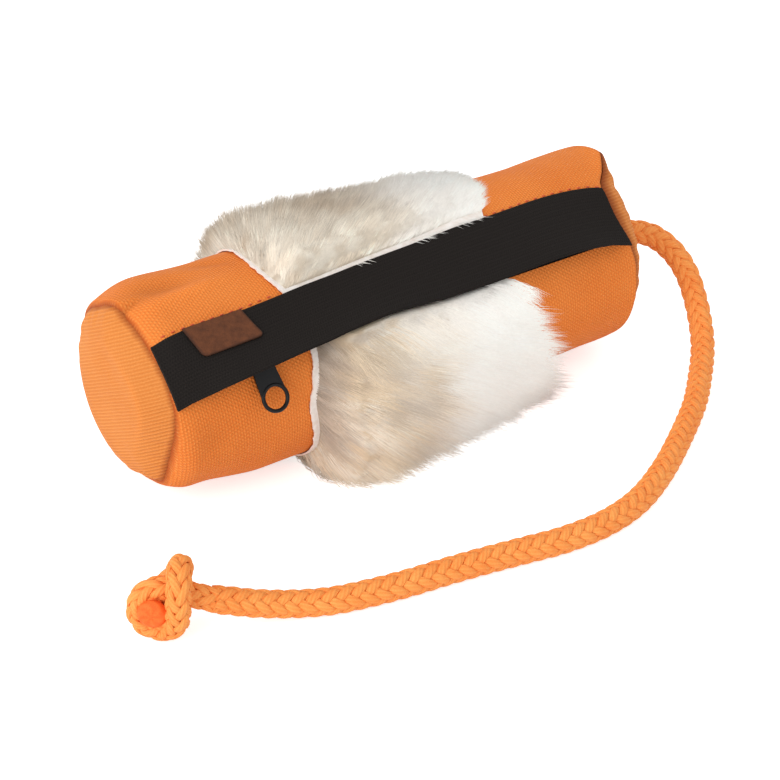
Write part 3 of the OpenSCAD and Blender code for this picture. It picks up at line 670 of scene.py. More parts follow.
def make_canvas_body():
    edge = math.degrees(math.asin(SLOT_HALF / TUBE_RADIUS))
    even = np.linspace(-1, 1, TUBE_ROWS)
    share = (0.45 * np.sin(even * np.pi / 2) + 0.55 * even)[:, None] / 2 + 0.5
    angle = ZIP_ANGLE + np.linspace(edge, 360 - edge, TUBE_COLUMNS)[None, :]
    left, right = seam_place(-1, angle)[0], seam_place(1, angle)[0]
    x = left + (right - left) * share
    angle = angle + 0 * x
    radius = canvas_radius(x, angle)
    flat = unrolled(x, angle)
    outer, inner = tube_point(x, radius, angle), tube_point(x, radius - CANVAS, angle)
    made = sheet_object("canvas_body", outer, inner, flat)
    # Painted shade in the creases by the end seams
    shade = seam_shade(np.minimum(x - left, right - x), FOLD_SHADE, FOLD_REACH)
    wrapped = wrap(angle)
    # Painted shade in the pinch
    pinch = hump(wrapped, PINCH_ANGLE, 2.2) * np.clip(1 - (x - left) / PINCH_REACH, 0, 1)
    # Painted shade in the folds' hollows and painted highlight on their ridges
    shade = shade * (1 - PINCH_SHADE * pinch + FOLD_SHADE_AND_HIGHLIGHT * canvas_folds(x, wrapped))[..., None]
    set_colours(made, np.tile(shade.reshape(-1, 3), (2, 1)))
    return dress(made, tube_canvas, "body", "canvas", "body_panel")


DISC_CENTRE = {-1: -HALF_LENGTH - 8.2, 1: HALF_LENGTH + 8.0}
DISC_FULLNESS = {-1: 6, 1: 8}
DISC_EDGE = 1.8
DISC_ROWS, DISC_COLUMNS = 60, 200


def make_end_panel(name, side, hole):
    """A puffed disc of canvas, full toward its middle and turned in where it meets the seam."""
    share = 1 - (1 - hole / TUBE_RADIUS) * (1 - np.linspace(0, 1, DISC_ROWS)[:, None]) ** 1.4
    angle = np.linspace(0, 360, DISC_COLUMNS, endpoint=False)[None, :]
    seam_x, seam_radius = seam_place(side, angle)
    rim = seam_radius - 0.85 * CREASE
    wrapped = wrap(angle)
    gathers = 0.25 * np.sin(np.radians(angle) * 23) + 0.2 * np.sin(np.radians(angle) * 37 + 1.3)
    fullness = 1 - share ** DISC_FULLNESS[side]
    x = seam_x * (1 - fullness) + DISC_CENTRE[side] * fullness
    turned = 1 - np.sqrt(1 - np.clip(1 - (1 - share) * rim / DISC_EDGE, 0, 1) ** 2)
    x = x - side * (1.4 * turned + gathers * hump(share, 0.9, 0.07))
    if side > 0:
        x = x + 2.8 * hump(share, 0.85, 0.22) * hump(wrapped, 72, 42)
    else:
        x = x + 3 * np.clip((share - 0.64) / 0.36, 0, 1) * hump(wrapped, 25, 60) * (1 - 0.9 * share ** 12)
        x = x + 0.9 * hump(share, 0.45, 0.16) * hump(wrapped, 95, 40)
    x = x - side * 0.7 * hump(wrapped, 150, 14) * hump(share, 0.75, 0.15)
    x = x - side * 0.5 * hump(wrapped, -60, 12) * hump(share, 0.7, 0.16)
    x = x + side * 0.5 * np.sin(np.radians(2 * angle) + 0.6) * share ** 2 * (1 - share ** 4)
    radius = share * rim
    outer = tube_point(x, radius, angle)
    inner = tube_point(x - side * CANVAS * (1 - 0.9 * share ** 8), radius, angle)
    flat = disc_flat(radius, angle)
    made = closed_disc(name, outer, inner, flat)
    # Painted light on the front panel: a painted highlight along a ridge and painted shade beyond it
    wear_and_painted_light = 0.04 * hump(share, 0.64, 0.05) - 0.06 * smooth_step(share, 0.64, 0.72)
    wear_and_painted_light = (side < 0) * wear_and_painted_light * hump(wrapped, 25, 60)
    # Painted shade in the crease of the seam
    shade = seam_shade((1 - share) * rim, SEAM_SHADE, SEAM_REACH) * (1 + wear_and_painted_light)[..., None]
    set_colours(made, np.tile(shade.reshape(-1, 3), (2, 1)))
    return made


make_canvas_body()
for panel_name, panel_side, panel_node, panel_hole in (
    ("front_end_canvas", -1, "front_end_panel", 0.05), ("rear_end_canvas", 1, "rear_end_panel", 5.7),
):
    panel = make_end_panel(panel_name, panel_side, panel_hole)
    dress(panel, end_canvas, "body", "canvas", panel_node)


# Flap, its stitches and the label

FLAP_REST = 18.0
FLAP_LEFT_END, FLAP_RIGHT_END = -HALF_LENGTH, HALF_LENGTH - 3.7
FLAP_END_BOW = 0.5
FLAP_ROWS = 140
FLAP_RIB = 2.5
FLAP_RIB_HEIGHT = 0.07
# Outer face of the sewn edge and of the free edge along the tube: x, then angle or radius
SEWN_ANGLE = [
    (-95, 58.6), (-90, 59.2), (-82, 59.8), (-60, 60.2), (-42, 62), (-25, 63.1), (-8, 64.7), (8, 65.6),
    (26, 67.3), (43, 68.1), (62, 69), (71, 68.7), (79, 67.7), (87, 65.6), (93, 62.4), (96, 61),
]
SEWN_RADIUS = [
    (-95, 33.8), (-90, 36.6), (-84, 37.6), (-46, 37.6), (-36, 38.2), (30, 38.2), (40, 37.6), (95, 37.4),
]
FREE_ANGLE = [
    (-95, 20.6), (-91, 22.8), (-84, 24.9), (-78, 27.1), (-73, 28.4), (-56, 30.9), (-48, 31.7), (-40, 32.3),
    (-32, 33.5), (-24, 34.3), (-16, 34.8), (-7.5, 34.4), (1, 33.6), (10, 32.8), (19, 32.7), (29, 32.5),
    (37.5, 32.8), (46, 33.3), (55, 33.9), (64.5, 33.5), (74, 32.5), (83, 30.7), (92, 26.9), (95, 25.4),
]
FREE_RADIUS = [
    (-95, 37.8), (-91, 39), (-84, 41.2), (-78, 44.4), (-73, 46.6), (-56, 48.9), (-40, 48.8), (-28, 49.6),
    (-16, 49.4), (-7.5, 48.2), (1, 47.2), (10, 46.4), (19, 45.8), (29, 45.6), (46, 45.8), (55, 46.6),
    (64.5, 47), (74, 46), (83, 43.4), (95, 40.4),
]


def flap_edge(x, knots):
    """One of the four curves above at distances along the tube."""
    return along_tube(x, knots, 6)


def flap_point(x, across, up):
    """A point of the flap: along the tube, across from the sewn edge, up from the underside."""
    x, across, up = np.broadcast_arrays(x, across, up)
    sewn_angle, sewn_radius = flap_edge(x, SEWN_ANGLE), flap_edge(x, SEWN_RADIUS)
    sewn = tube_point(x, sewn_radius, sewn_angle)
    free = tube_point(x, flap_edge(x, FREE_RADIUS), flap_edge(x, FREE_ANGLE))
    resting = tube_point(x, np.maximum(sewn_radius, TUBE_RADIUS + 1.2), sewn_angle - FLAP_REST)
    from_sewn = FLAP_WIDTH * unit(tube_point(x, sewn_radius, sewn_angle - 4) - sewn)
    to_free = 0.9 * FLAP_WIDTH * unit(free - resting)
    t = (across / FLAP_WIDTH)[..., None]
    point = (
        (2 * t ** 3 - 3 * t ** 2 + 1) * sewn + (t ** 3 - 2 * t ** 2 + t) * from_sewn
        + (3 * t ** 2 - 2 * t ** 3) * free + (t ** 3 - t ** 2) * to_free
    )
    slope = (
        (6 * t ** 2 - 6 * t) * (sewn - free)
        + (3 * t ** 2 - 4 * t + 1) * from_sewn + (3 * t ** 2 - 2 * t) * to_free
    )
    normal = unit(np.cross(slope, np.array([1.0, 0, 0])))
    return point + normal * (up - FLAP_THICKNESS)[..., None]


def webbing_material():
    """Tight black webbing: ribs along its length, each a row of small slanted yarns."""
    material, tree, shader = new_material("black_webbing", 0.8, Specular_IOR_Level=0.12)
    uv, u, v = flat_uv(tree, "flat")
    rib = calc(tree, "ABSOLUTE", wave(tree, v, FLAP_RIB))
    zigzag = calc(tree, "ABSOLUTE", wave(tree, v, 2 * FLAP_RIB))
    slant = plus(tree, u, times(tree, zigzag, 0.6))
    yarn = wave(tree, slant, 0.95)
    weave = plus(tree, times(tree, rib, 0.6), times(tree, yarn, 0.35))
    lint = noise(tree, uv, 2.2, 4.0, 0.7)
    tone = plus(tree, times(tree, weave, 0.35), spread(tree, lint, 0.35, 0.75, 0.1, 0.7))
    paint(tree, shader, mix(tree, tone, srgb(17, 14, 13), srgb(41, 36, 33)))
    bump(tree, shader, plus(tree, weave, times(tree, lint, 0.5)), 0.16, 0.8)
    return material


webbing = webbing_material()


def make_flap_half(name, side):
    """Half of the flap, which stays sewn at its end."""
    across = np.concatenate([
        [0, 0.12, 0.4], np.linspace(0.9, FLAP_WIDTH - 0.9, 36), FLAP_WIDTH - np.array([0.4, 0.12, 0]),
    ])[None, :]
    share = np.linspace(0, 1, FLAP_ROWS)[:, None]
    bow = FLAP_END_BOW * np.cos(2 * np.pi * across / FLAP_WIDTH) if side > 0 else 0
    x = (FLAP_LEFT_END if side < 0 else FLAP_RIGHT_END) * share + bow * share ** 12
    x, across = np.broadcast_arrays(x, across)
    edge = np.minimum(across, FLAP_WIDTH - across)
    round_off = 0.45 * (1 - np.sqrt(1 - (1 - np.clip(edge / 0.9, 0, 1)) ** 2))
    ripple = FLAP_RIB_HEIGHT * np.cos(2 * np.pi * across / FLAP_RIB)
    outer = flap_point(x, across, FLAP_THICKNESS - round_off + ripple)
    inner = flap_point(x, across, round_off + 0 * x)
    made = sheet_object(name, outer, inner, np.stack([x, across], axis=-1))
    made.data.materials.append(webbing)
    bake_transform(made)
    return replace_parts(made, "flap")


make_flap_half("flap_left", -1)
make_flap_half("flap_right", 1)

LABEL_LENGTH, LABEL_HEIGHT, LABEL_THICKNESS, LABEL_CORNER = 22.5, 12.0, 0.9, 2.0
LABEL_X = 24.0 - HALF_LENGTH
LABEL_SHIFT = (-1.9, 1.0)


def leather_material():
    """Smooth brown leather with fine grain, darker toward its cut edges."""
    material, tree, shader = new_material("brown_leather", 0.55, Specular_IOR_Level=0.2)
    here = object_mm(tree)
    _, u, v = flat_uv(tree, "flat")
    cells = node(tree, "TexVoronoi", {"Vector": here, "Scale": 2.4}, feature="DISTANCE_TO_EDGE").outputs[0]
    pores = spread(tree, cells, 0.0, 0.22)
    mottle = noise(tree, here, 0.5, 4.0)
    to_side = calc(tree, "SUBTRACT", LABEL_LENGTH / 2, calc(tree, "ABSOLUTE", u))
    to_edge = calc(tree, "MINIMUM", to_side, calc(tree, "SUBTRACT", LABEL_HEIGHT, v))
    rim = spread(tree, to_edge, 0.0, 0.9)
    grain = times(tree, pores, 0.25)
    tone = plus(tree, spread(tree, mottle, 0.3, 0.7, 0.25, 0.75), grain)
    tone = times(tree, tone, rim)
    paint(tree, shader, mix(tree, tone, srgb(58, 31, 18), srgb(112, 64, 37)))
    bump(tree, shader, plus(tree, pores, mottle), 0.06, 0.6)
    return material


def make_label():
    turn = np.linspace(0, np.pi, 44)[:, None]
    along = LABEL_LENGTH * (1 - np.cos(turn)) / 2
    inside = np.minimum(along, LABEL_LENGTH - along)
    gone = np.clip(LABEL_CORNER - inside, 0, LABEL_CORNER)
    depth = LABEL_HEIGHT - (LABEL_CORNER - np.sqrt(LABEL_CORNER ** 2 - gone ** 2))
    rows = np.concatenate([np.linspace(0, 0.95, 22), [0.975, 0.992, 1.0]])[None, :]
    across = depth * rows
    shift = LABEL_SHIFT[0] + (LABEL_SHIFT[1] - LABEL_SHIFT[0]) * across / LABEL_HEIGHT
    x = LABEL_X - LABEL_LENGTH / 2 + along + shift
    to_edge = np.minimum(inside + 0 * rows, depth - across)
    round_off = 0.3 * (1 - np.sqrt(1 - (1 - np.clip(to_edge / 0.5, 0, 1)) ** 2))
    base = FLAP_THICKNESS + 0.08
    outer = flap_point(x, across, base + LABEL_THICKNESS - round_off)
    inner = flap_point(x, across, base + round_off)
    flat = np.stack([x - shift - LABEL_X, across], axis=-1)
    made = sheet_object("flap_label", outer, inner, flat)
    made.data.materials.append(leather_material())
    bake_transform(made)
    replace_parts(made, "label")


make_label()


def thread_material(name, light, dark):
    material, tree, shader = new_material(name, 0.5, Sheen_Weight=0.2)
    _, along, turn = flat_uv(tree, "strand")
    twist = wave(tree, plus(tree, turn, times(tree, along, 1.6)), 0.5)
    paint(tree, shader, mix(tree, spread(tree, twist, -1.0, 1.0), dark, light))
    bump(tree, shader, twist, 0.05, 0.6)
    return material


STITCH_PITCH = 3.7
orange_thread = thread_material("orange_thread", srgb(236, 96, 34), srgb(196, 62, 20))


def stitch_tube(path, radius):
    path, along = curve_through(path, 0.3)
    _, normals, binormals = sides_along(path)
    taper = radius * np.clip(np.sqrt(1 - (2 * along / along[-1] - 1) ** 6), 0.35, 1)
    return ring_tube(path, normals, binormals, taper, taper, 8), along


def make_flap_stitches():
    """The row of stitches in the canvas just behind the flap's sewn edge."""
    tubes = []
    for x in np.arange(-HALF_LENGTH + 4.2, HALF_LENGTH - 4, STITCH_PITCH):
        if HIDE_LEFT - 4 < x < HIDE_RIGHT + 2:
            continue
        ends = x + np.array([0, 0.25, 0.7, 1.15, 1.4])
        lift = np.array([-0.35, 0.1, 0.15, 0.1, -0.35])
        angle = flap_edge(ends, SEWN_ANGLE) + 2.0
        tubes.append(stitch_tube(tube_point(ends, canvas_radius(ends, angle) + lift, angle), 0.26))
    return dress(capped_tubes("flap_stitches", tubes), orange_thread, "body", "canvas")


make_flap_stitches()


# Fur band: hide, undercoat and hair

FUR_SEED = 7
HIDE_THICKNESS = 0.6
FUR_FRONT_GAP = 0.3
HAIRS_PER_PIECE = 11700
FUR_PIECES = 12
HAIR_STEPS = 4
HIDE_LEFT_EDGE = [
    (-150, -42), (-90, -41), (-39, -39.8), (-19, -41.8), (1, -44.4), (11, -42.4), (29, -40.6), (62, -41.2),
    (70, -43.2), (80, -45.6), (92, -46.8), (108, -46.6), (140, -45), (178, -43),
]
HIDE_RIGHT_EDGE = [
    (-180, 46), (-90, 45), (-30, 42), (0, 39.5), (20, 36.5), (29, 35.5), (62, 39), (75, 42.5), (95, 46),
    (125, 47),
]
# Strip of bare hide behind the flap's sewn edge: x, then its width in degrees
BARE_STRIP = [(-46, 2.4), (-20, 2.8), (10, 3.8), (34, 5.4), (60, 5.4)]
# Height of the pile along the tube, level with its axis
PILE_HEIGHT = [
    (-56, 8), (-46, 13), (-40, 15), (-34, 16.2), (-25, 16.6), (-10, 16.4), (0, 15.2), (10, 13.8), (20, 12.8),
    (29, 11.8), (36, 11), (42, 10), (48, 8), (54, 5), (60, 2), (66, 0.4),
]
# How much lower the pile is on top, and how much deeper below, along the tube
PILE_TOP_LOSS = [
    (-50, 1.4), (-42, 2), (-36, 3.4), (-28, 5.6), (-12, 7.8), (4, 7.4), (16, 6.2), (30, 5.2), (50, 4.6),
]
PILE_BOTTOM_GAIN = [(-50, 9), (-38, 10.4), (-28, 9.4), (-18, 7), (-8, 4.8), (5, 4), (40, 3.6)]
PILE_TOP_DIRECTION = 123.0
PILE_SKEW_FRONT = 2.0
HAIR_LEAN = [
    (-52, 4), (-44, 12), (-36, 22), (-25, 30), (-5, 36), (10, 37), (25, 38), (36, 42), (42, 52), (47, 62),
]
LEAN_ALONG = 16.0
HAIR_REACH = 6.0
HAIRS_PER_LOCK = 36
HAIR_LONGEST = 27.0
HAIR_OVER = 1.06
UNDERCOAT_SHARE = 0.7
UNDERCOAT_RIGHT = 2.0
HAIR_RADII = (0.10, 0.10, 0.07)
HAIR_SIDES = 3
# Share of a hair's own roundness in its shading, and how far the shading looks up
HAIR_ROUNDNESS, HAIR_SHADE_LIFT = 0.4, 0.25
HAIR_SPARE = 1.25
NOISE_CELLS = 64


def hide_left_at(angle):
    return around(angle, HIDE_LEFT_EDGE, 15)


def hide_right_at(angle):
    return around(angle, HIDE_RIGHT_EDGE, 15)


def fur_range(x):
    """The angles between which fur grows: behind the bare strip, round the tube, to the flap's free edge."""
    start = flap_edge(x, SEWN_ANGLE) + along_tube(x, BARE_STRIP, 6)
    return start, 360 + flap_edge(x, FREE_ANGLE) - FUR_FRONT_GAP


def value_noise(u, v, seed):
    """Smooth noise from 0 to 1 over two coordinates, from a seeded grid."""
    grid = np.random.default_rng(seed).random((NOISE_CELLS, NOISE_CELLS))
    iu, iv = np.floor(u).astype(int), np.floor(v).astype(int)
    fu, fv = u - iu, v - iv
    fu, fv = fu * fu * (3 - 2 * fu), fv * fv * (3 - 2 * fv)
    near, far = iu % NOISE_CELLS, (iu + 1) % NOISE_CELLS
    this, then = iv % NOISE_CELLS, (iv + 1) % NOISE_CELLS
    low = grid[near, this] * (1 - fu) + grid[far, this] * fu
    high = grid[near, then] * (1 - fu) + grid[far, then] * fu
    return low * (1 - fv) + high * fv


def fur_front(angle):
    """How far an angle belongs to the front, from 0 to 1."""
    wrapped = wrap(angle, -90)
    return smooth_step(wrapped, -45, -20) * (1 - smooth_step(wrapped, 40, 70))


def fur_back(angle):
    """How far an angle belongs to the top and back."""
    wrapped = wrap(angle, -90)
    return smooth_step(wrapped, 60, 100) * (1 - smooth_step(wrapped, 200, 250))


def fur_bottom(angle):
    """How far an angle belongs to the bottom."""
    wrapped = wrap(angle, -90)
    return 1 - smooth_step(wrapped, -45, -20) + smooth_step(wrapped, 200, 250)


def fur_streak(x, wrapped):
    return value_noise(x / 9 + 5, wrapped / 4 + 9, 3)


def fur_patch(x, wrapped):
    return value_noise(x / 13 + 1, wrapped / 20 + 4, 5)


CREAM = np.array(srgb(243, 233, 216)[:3])
WHITE = np.array(srgb(253, 249, 242)[:3])
TAN = np.array(srgb(226, 204, 174)[:3])
GREY = np.array(srgb(226, 214, 197)[:3])
BROWN = np.array(srgb(172, 145, 116)[:3])
# Painted shade: a darker colour for the hairs toward their roots, and a darker one along the hide's left edge
ROOT_SHADE = np.array(srgb(180, 164, 150)[:3])
EDGE_SHADE = np.array(srgb(166, 148, 134)[:3])
# Darker patches on the front: place along the tube, angle, half width along, half width round
BROWN_PATCHES = [(-15, -4, 7, 8), (-19, -22, 6, 9), (-31, -52, 9, 9), (-10, -38, 6, 6), (-36, 16, 4, 9)]


def blend_colours(first, second, share):
    return first + (second - first) * np.asarray(share)[..., None]


def white_share(x, angle):
    """How white the fur is: not at all at its left, wholly at its right, later over the top."""
    wrapped = wrap(angle, -90)
    uneven = 18 * (fur_patch(x, wrapped) - 0.5) + 10 * (fur_streak(x, wrapped) - 0.5)
    white_from = -11 + 24 * smooth_step(wrapped, 30, 90)
    return smooth_step(x - white_from + uneven, -22, 19)


def fur_colour(x, angle, along):
    """Colour by where a hair grows and how far along it is: tan and grey at the left, white at the right,
    with painted shade toward the roots, most on the front, and along the hide's left edge.
    """
    wrapped, front = wrap(angle, -90), fur_front(angle)
    streak, patch = fur_streak(x, wrapped), fur_patch(x, wrapped)
    fine = value_noise(x / 3.5 + 2, wrapped / 2.2 + 7, 8)
    colour = blend_colours(TAN + 0 * x[..., None], GREY, 0.8 * smooth_step(wrapped, 30, 80))
    colour = blend_colours(colour, CREAM, 0.9 * smooth_step(streak * 0.5 + fine * 0.5, 0.4, 0.66))
    dark = 0.75 * smooth_step(patch * 0.5 + streak * 0.5, 0.45, 0.7)
    for middle, turn, half_x, half_turn in BROWN_PATCHES:
        dark = dark + hump(x, middle, half_x) * hump(wrapped, turn, half_turn) * (0.3 + 0.6 * streak)
    colour = blend_colours(colour, BROWN, 0.9 * np.clip(dark, 0, 1) * smooth_step(along, 0.2, 0.8))
    white = white_share(x, angle)
    colour = blend_colours(colour, WHITE, white)
    # Painted shade along the hide's left edge, and toward the roots, most on the front
    by_edge = (1 - smooth_step(x - hide_left_at(angle), 1, 10)) * front
    root = 0.6 * (1 - smooth_step(along, 0.0, 0.6)) * (0.2 + 0.8 * front)
    colour = blend_colours(colour, ROOT_SHADE, root * (1 - 0.85 * white))
    return blend_colours(colour, EDGE_SHADE, 0.8 * by_edge * (1 - 0.4 * smooth_step(along, 0.6, 1)))


def pile_height(x, angle):
    """Height of the fur's outer surface over the hide."""
    wrapped, front = wrap(angle, -90), fur_front(angle)
    start, end = fur_range(x)
    from_left = x - hide_left_at(angle)
    toward_top = np.cos(np.radians(wrapped - PILE_TOP_DIRECTION))
    skew = PILE_SKEW_FRONT * np.maximum(-toward_top, 0)
    height = along_tube(x - skew * smooth_step(x, -25, 20), PILE_HEIGHT, 6)
    sine = np.sin(np.radians(wrapped))
    loss = np.where(sine > 0, along_tube(x, PILE_TOP_LOSS, 6), along_tube(x, PILE_BOTTOM_GAIN, 6))
    height = height - loss * sine * smooth_step(height, 0, 8)
    least = 0.58 - 0.26 * front
    rise = smooth_step(from_left, -1.5 - 6 * fur_back(angle), 8 + 5 * front)
    height = height * (least + (1 - least) * rise)
    room = flap_edge(x, FREE_RADIUS) - TUBE_RADIUS - HIDE_THICKNESS - 0.8
    by_flap = 1 - smooth_step(end - angle, 0, 14)
    height = np.minimum(height, room + 12 * (1 - by_flap))
    return height * (0.3 + 0.7 * smooth_step(angle - start, 0, 10))


def fur_heading(x, angle):
    """Length of a hair, its lean toward +X and its fall round the tube, at root and tip, in degrees."""
    front = fur_front(angle)
    start, end = fur_range(x)
    from_left = x - hide_left_at(angle)
    lean = along_tube(x, HAIR_LEAN, 4)
    lean = lean - 36 * fur_back(angle) * (1 - smooth_step(from_left, 0, 22))
    lean = lean - 6 * fur_bottom(angle) * (1 - smooth_step(from_left, 0, 18))
    behind = 1 - smooth_step(angle - start, 0, 26)
    below = 1 - smooth_step(end - angle, 0, 26)
    lean = lean - 16 * below
    fall_root = -14 * behind + 8 * below + 6 * front
    fall_tip = -40 * behind + 76 * below + 22 * front
    tilt = np.radians(lean + LEAN_ALONG / 2)
    upright = np.cos(tilt) * np.cos(np.radians((fall_root + fall_tip) / 2))
    reach = HAIR_REACH * np.sin(tilt)
    length = HAIR_OVER * pile_height(x + reach, angle) / np.maximum(upright, 0.34)
    return np.clip(length, 5, HAIR_LONGEST), lean, fall_root, fall_tip


def gather_locks(roots, rng):
    """Chooses the middle hairs of locks, and for each hair the lock whose middle is nearest."""
    leaders = rng.choice(len(roots), max(1, len(roots) // HAIRS_PER_LOCK), replace=False)
    tree = kdtree.KDTree(len(leaders))
    for i, leader in enumerate(leaders):
        tree.insert(roots[leader], i)
    tree.balance()
    return leaders, np.array([tree.find(root)[1] for root in roots])


def grow_hairs(count, rng):
    """Paths of hairs from the hide, each leaning with the nap and bending further toward its tip."""
    x = rng.uniform(HIDE_LEFT - 5, HIDE_RIGHT + 13, count)
    start, end = fur_range(x)
    angle = start + (end - start) * rng.random(count)
    grown = (x > hide_left_at(angle)) & (x < hide_right_at(angle))
    x, angle = x[grown], angle[grown]
    count = len(x)
    length, lean, fall_root, fall_tip = fur_heading(x, angle)
    point = tube_point(x, canvas_radius(x, angle) + HIDE_THICKNESS, angle)
    leaders, lock = gather_locks(point, rng)
    locks = len(leaders)
    length = length * rng.normal(0.97, 0.11, count) * rng.normal(1, 0.05, locks)[lock]
    lean = lean + rng.normal(0, 6, count) + rng.normal(0, 4, locks)[lock]
    fall = rng.normal(0, 6, count) + rng.normal(0, 9, locks)[lock]
    along = np.array([1.0, 0, 0])
    out = outward(angle)
    down = unit(tube_point(0, 1.0, angle - 1) - tube_point(0, 1.0, angle))
    path = [point]
    for i in range(HAIR_STEPS - 1):
        share = (i + 0.5) / (HAIR_STEPS - 1)
        tip = np.radians(lean + LEAN_ALONG * share)
        drop = np.radians(fall_root + (fall_tip - fall_root) * share + fall)
        heading = (
            np.sin(tip)[:, None] * along
            + (np.cos(tip) * np.cos(drop))[:, None] * out
            + (np.cos(tip) * np.sin(drop))[:, None] * down
        )
        stray = rng.normal(0, 0.2, (count, 3)) * share
        point = point + heading * (length / (HAIR_STEPS - 1))[:, None] + stray
        path.append(point)
    path = np.stack(path, axis=1)
    share = np.linspace(0, 1, HAIR_STEPS)[None, :, None] ** 1.4
    pull = rng.uniform(0.05, 0.4, (count, 1, 1)) * share
    path = path + pull * (path[leaders[lock]] - path)
    return path, x, angle, np.clip(rng.normal(1, 0.1, locks), 0.75, 1.2)[lock]


def clear_of_flap(path):
    """True for hairs that stay out of the flap and of the space under it."""
    x = path[..., 0]
    turn = np.degrees(np.arctan2(path[..., 2] - AXIS_HEIGHT, -path[..., 1]))
    radius = np.hypot(path[..., 1], path[..., 2] - AXIS_HEIGHT)
    sewn, free = flap_edge(x, SEWN_ANGLE), flap_edge(x, FREE_ANGLE)
    share = np.clip((sewn - turn) / (sewn - free), 0, 1)
    top = flap_edge(x, SEWN_RADIUS) * (1 - share) + flap_edge(x, FREE_RADIUS) * share
    top = top + 8 * share * (1 - share)
    under = (turn > free - 0.5) & (turn < sewn + 0.8) & (radius < top + 0.3)
    return ~under.any(axis=1)


def hair_mesh(name, path, out, thickness):
    """Thin tapering hairs as one mesh; gives the object, its points by hair and the path point of each."""
    count, steps = path.shape[:2]
    levels = steps - 1
    ahead = unit(np.gradient(path, axis=1))
    side_a = out[:, None] + np.array([-0.2, -0.1, 0.3])
    side_a = unit(side_a - (side_a * ahead).sum(axis=-1, keepdims=True) * ahead)
    side_b = np.cross(ahead, side_a)
    taper = np.array(HAIR_RADII)[None, :, None] * thickness
    rings = []
    for k in range(HAIR_SIDES):
        turn = 2 * np.pi * (k + 0.5) / HAIR_SIDES
        spoke = math.cos(turn) * side_a[:, :-1] + math.sin(turn) * side_b[:, :-1]
        rings.append(path[:, :-1] + taper * spoke)
    points = np.concatenate([np.stack(rings, axis=2).reshape(count, -1, 3), path[:, -1:]], axis=1)
    per = points.shape[1]
    pattern = [(0, 2, 1)]
    for i in range(levels - 1):
        for k in range(HAIR_SIDES):
            a, b = i * HAIR_SIDES + k, i * HAIR_SIDES + (k + 1) % HAIR_SIDES
            pattern += [(a, b, b + HAIR_SIDES), (a, b + HAIR_SIDES, a + HAIR_SIDES)]
    top = (levels - 1) * HAIR_SIDES
    pattern += [(top + k, top + (k + 1) % HAIR_SIDES, per - 1) for k in range(HAIR_SIDES)]
    tris = (np.arange(count)[:, None, None] * per + np.array(pattern)[None]).reshape(-1, 3)
    made = build_object(name, points.reshape(-1, 3), tris=tris)
    return made, points, np.repeat(path, [HAIR_SIDES] * levels + [1], axis=1)


def hair_object(name, path, x, angle, shade, rng):
    """A piece of hair, lit as the fur's surface is lit, each hair with its own tint."""
    count, steps = path.shape[:2]
    levels = steps - 1
    out = outward(angle)
    made, points, middle = hair_mesh(name, path, out, rng.uniform(0.75, 1.2, (count, 1, 1)))
    per = points.shape[1]
    from_left = x - hide_left_at(angle)
    tilt = 0.8 * smooth_step(x, 38, 54) - 1.1 * (1 - smooth_step(from_left, 0, 15))
    surface = unit(out + tilt[:, None] * np.array([1.0, 0, 0]) + np.array([0, 0, HAIR_SHADE_LIFT]))
    facing = unit(points - middle + 1e-6) * HAIR_ROUNDNESS + surface[:, None]
    made.data.normals_split_custom_set_from_vertices(unit(facing).reshape(-1, 3))
    share = np.append(np.repeat(np.arange(levels) / levels, HAIR_SIDES), 1.0)[None, :]
    every_x, every_angle = (np.repeat(values[:, None], per, 1) for values in (x, angle))
    colours = fur_colour(every_x, every_angle, np.repeat(share, count, 0))
    uneven = 1 - 0.75 * white_share(x, angle)
    shade = 1 + uneven * (shade * rng.normal(1.0, 0.07, count) - 1)
    set_colours(made, np.clip(colours * shade[:, None, None], 0, 0.97).reshape(-1, 3))
    cells = math.ceil(math.sqrt(count))
    cell = np.stack([np.arange(count) % cells, np.arange(count) // cells], axis=1)[:, None]
    across = np.append(np.tile([0.15, 0.5, 0.85], levels), 0.5)
    within = np.stack([across, 0.1 + 0.8 * share[0]], axis=1)[None]
    set_uv(made, "OFBake", ((cell + within) / cells).reshape(-1, 2))
    return made


def fur_material(name, roughness):
    material, tree, shader = new_material(name, roughness, Specular_IOR_Level=0.15)
    tint = node(tree, "Attribute", attribute_name="tint").outputs["Color"]
    fleck = spread(tree, noise(tree, object_mm(tree), 0.9, 3.0), 0.3, 0.7, 0.93, 1.03)
    paint(tree, shader, node(tree, "VectorMath", {0: tint, "Scale": fleck}, operation="SCALE").outputs[0])
    return material, tree, shader


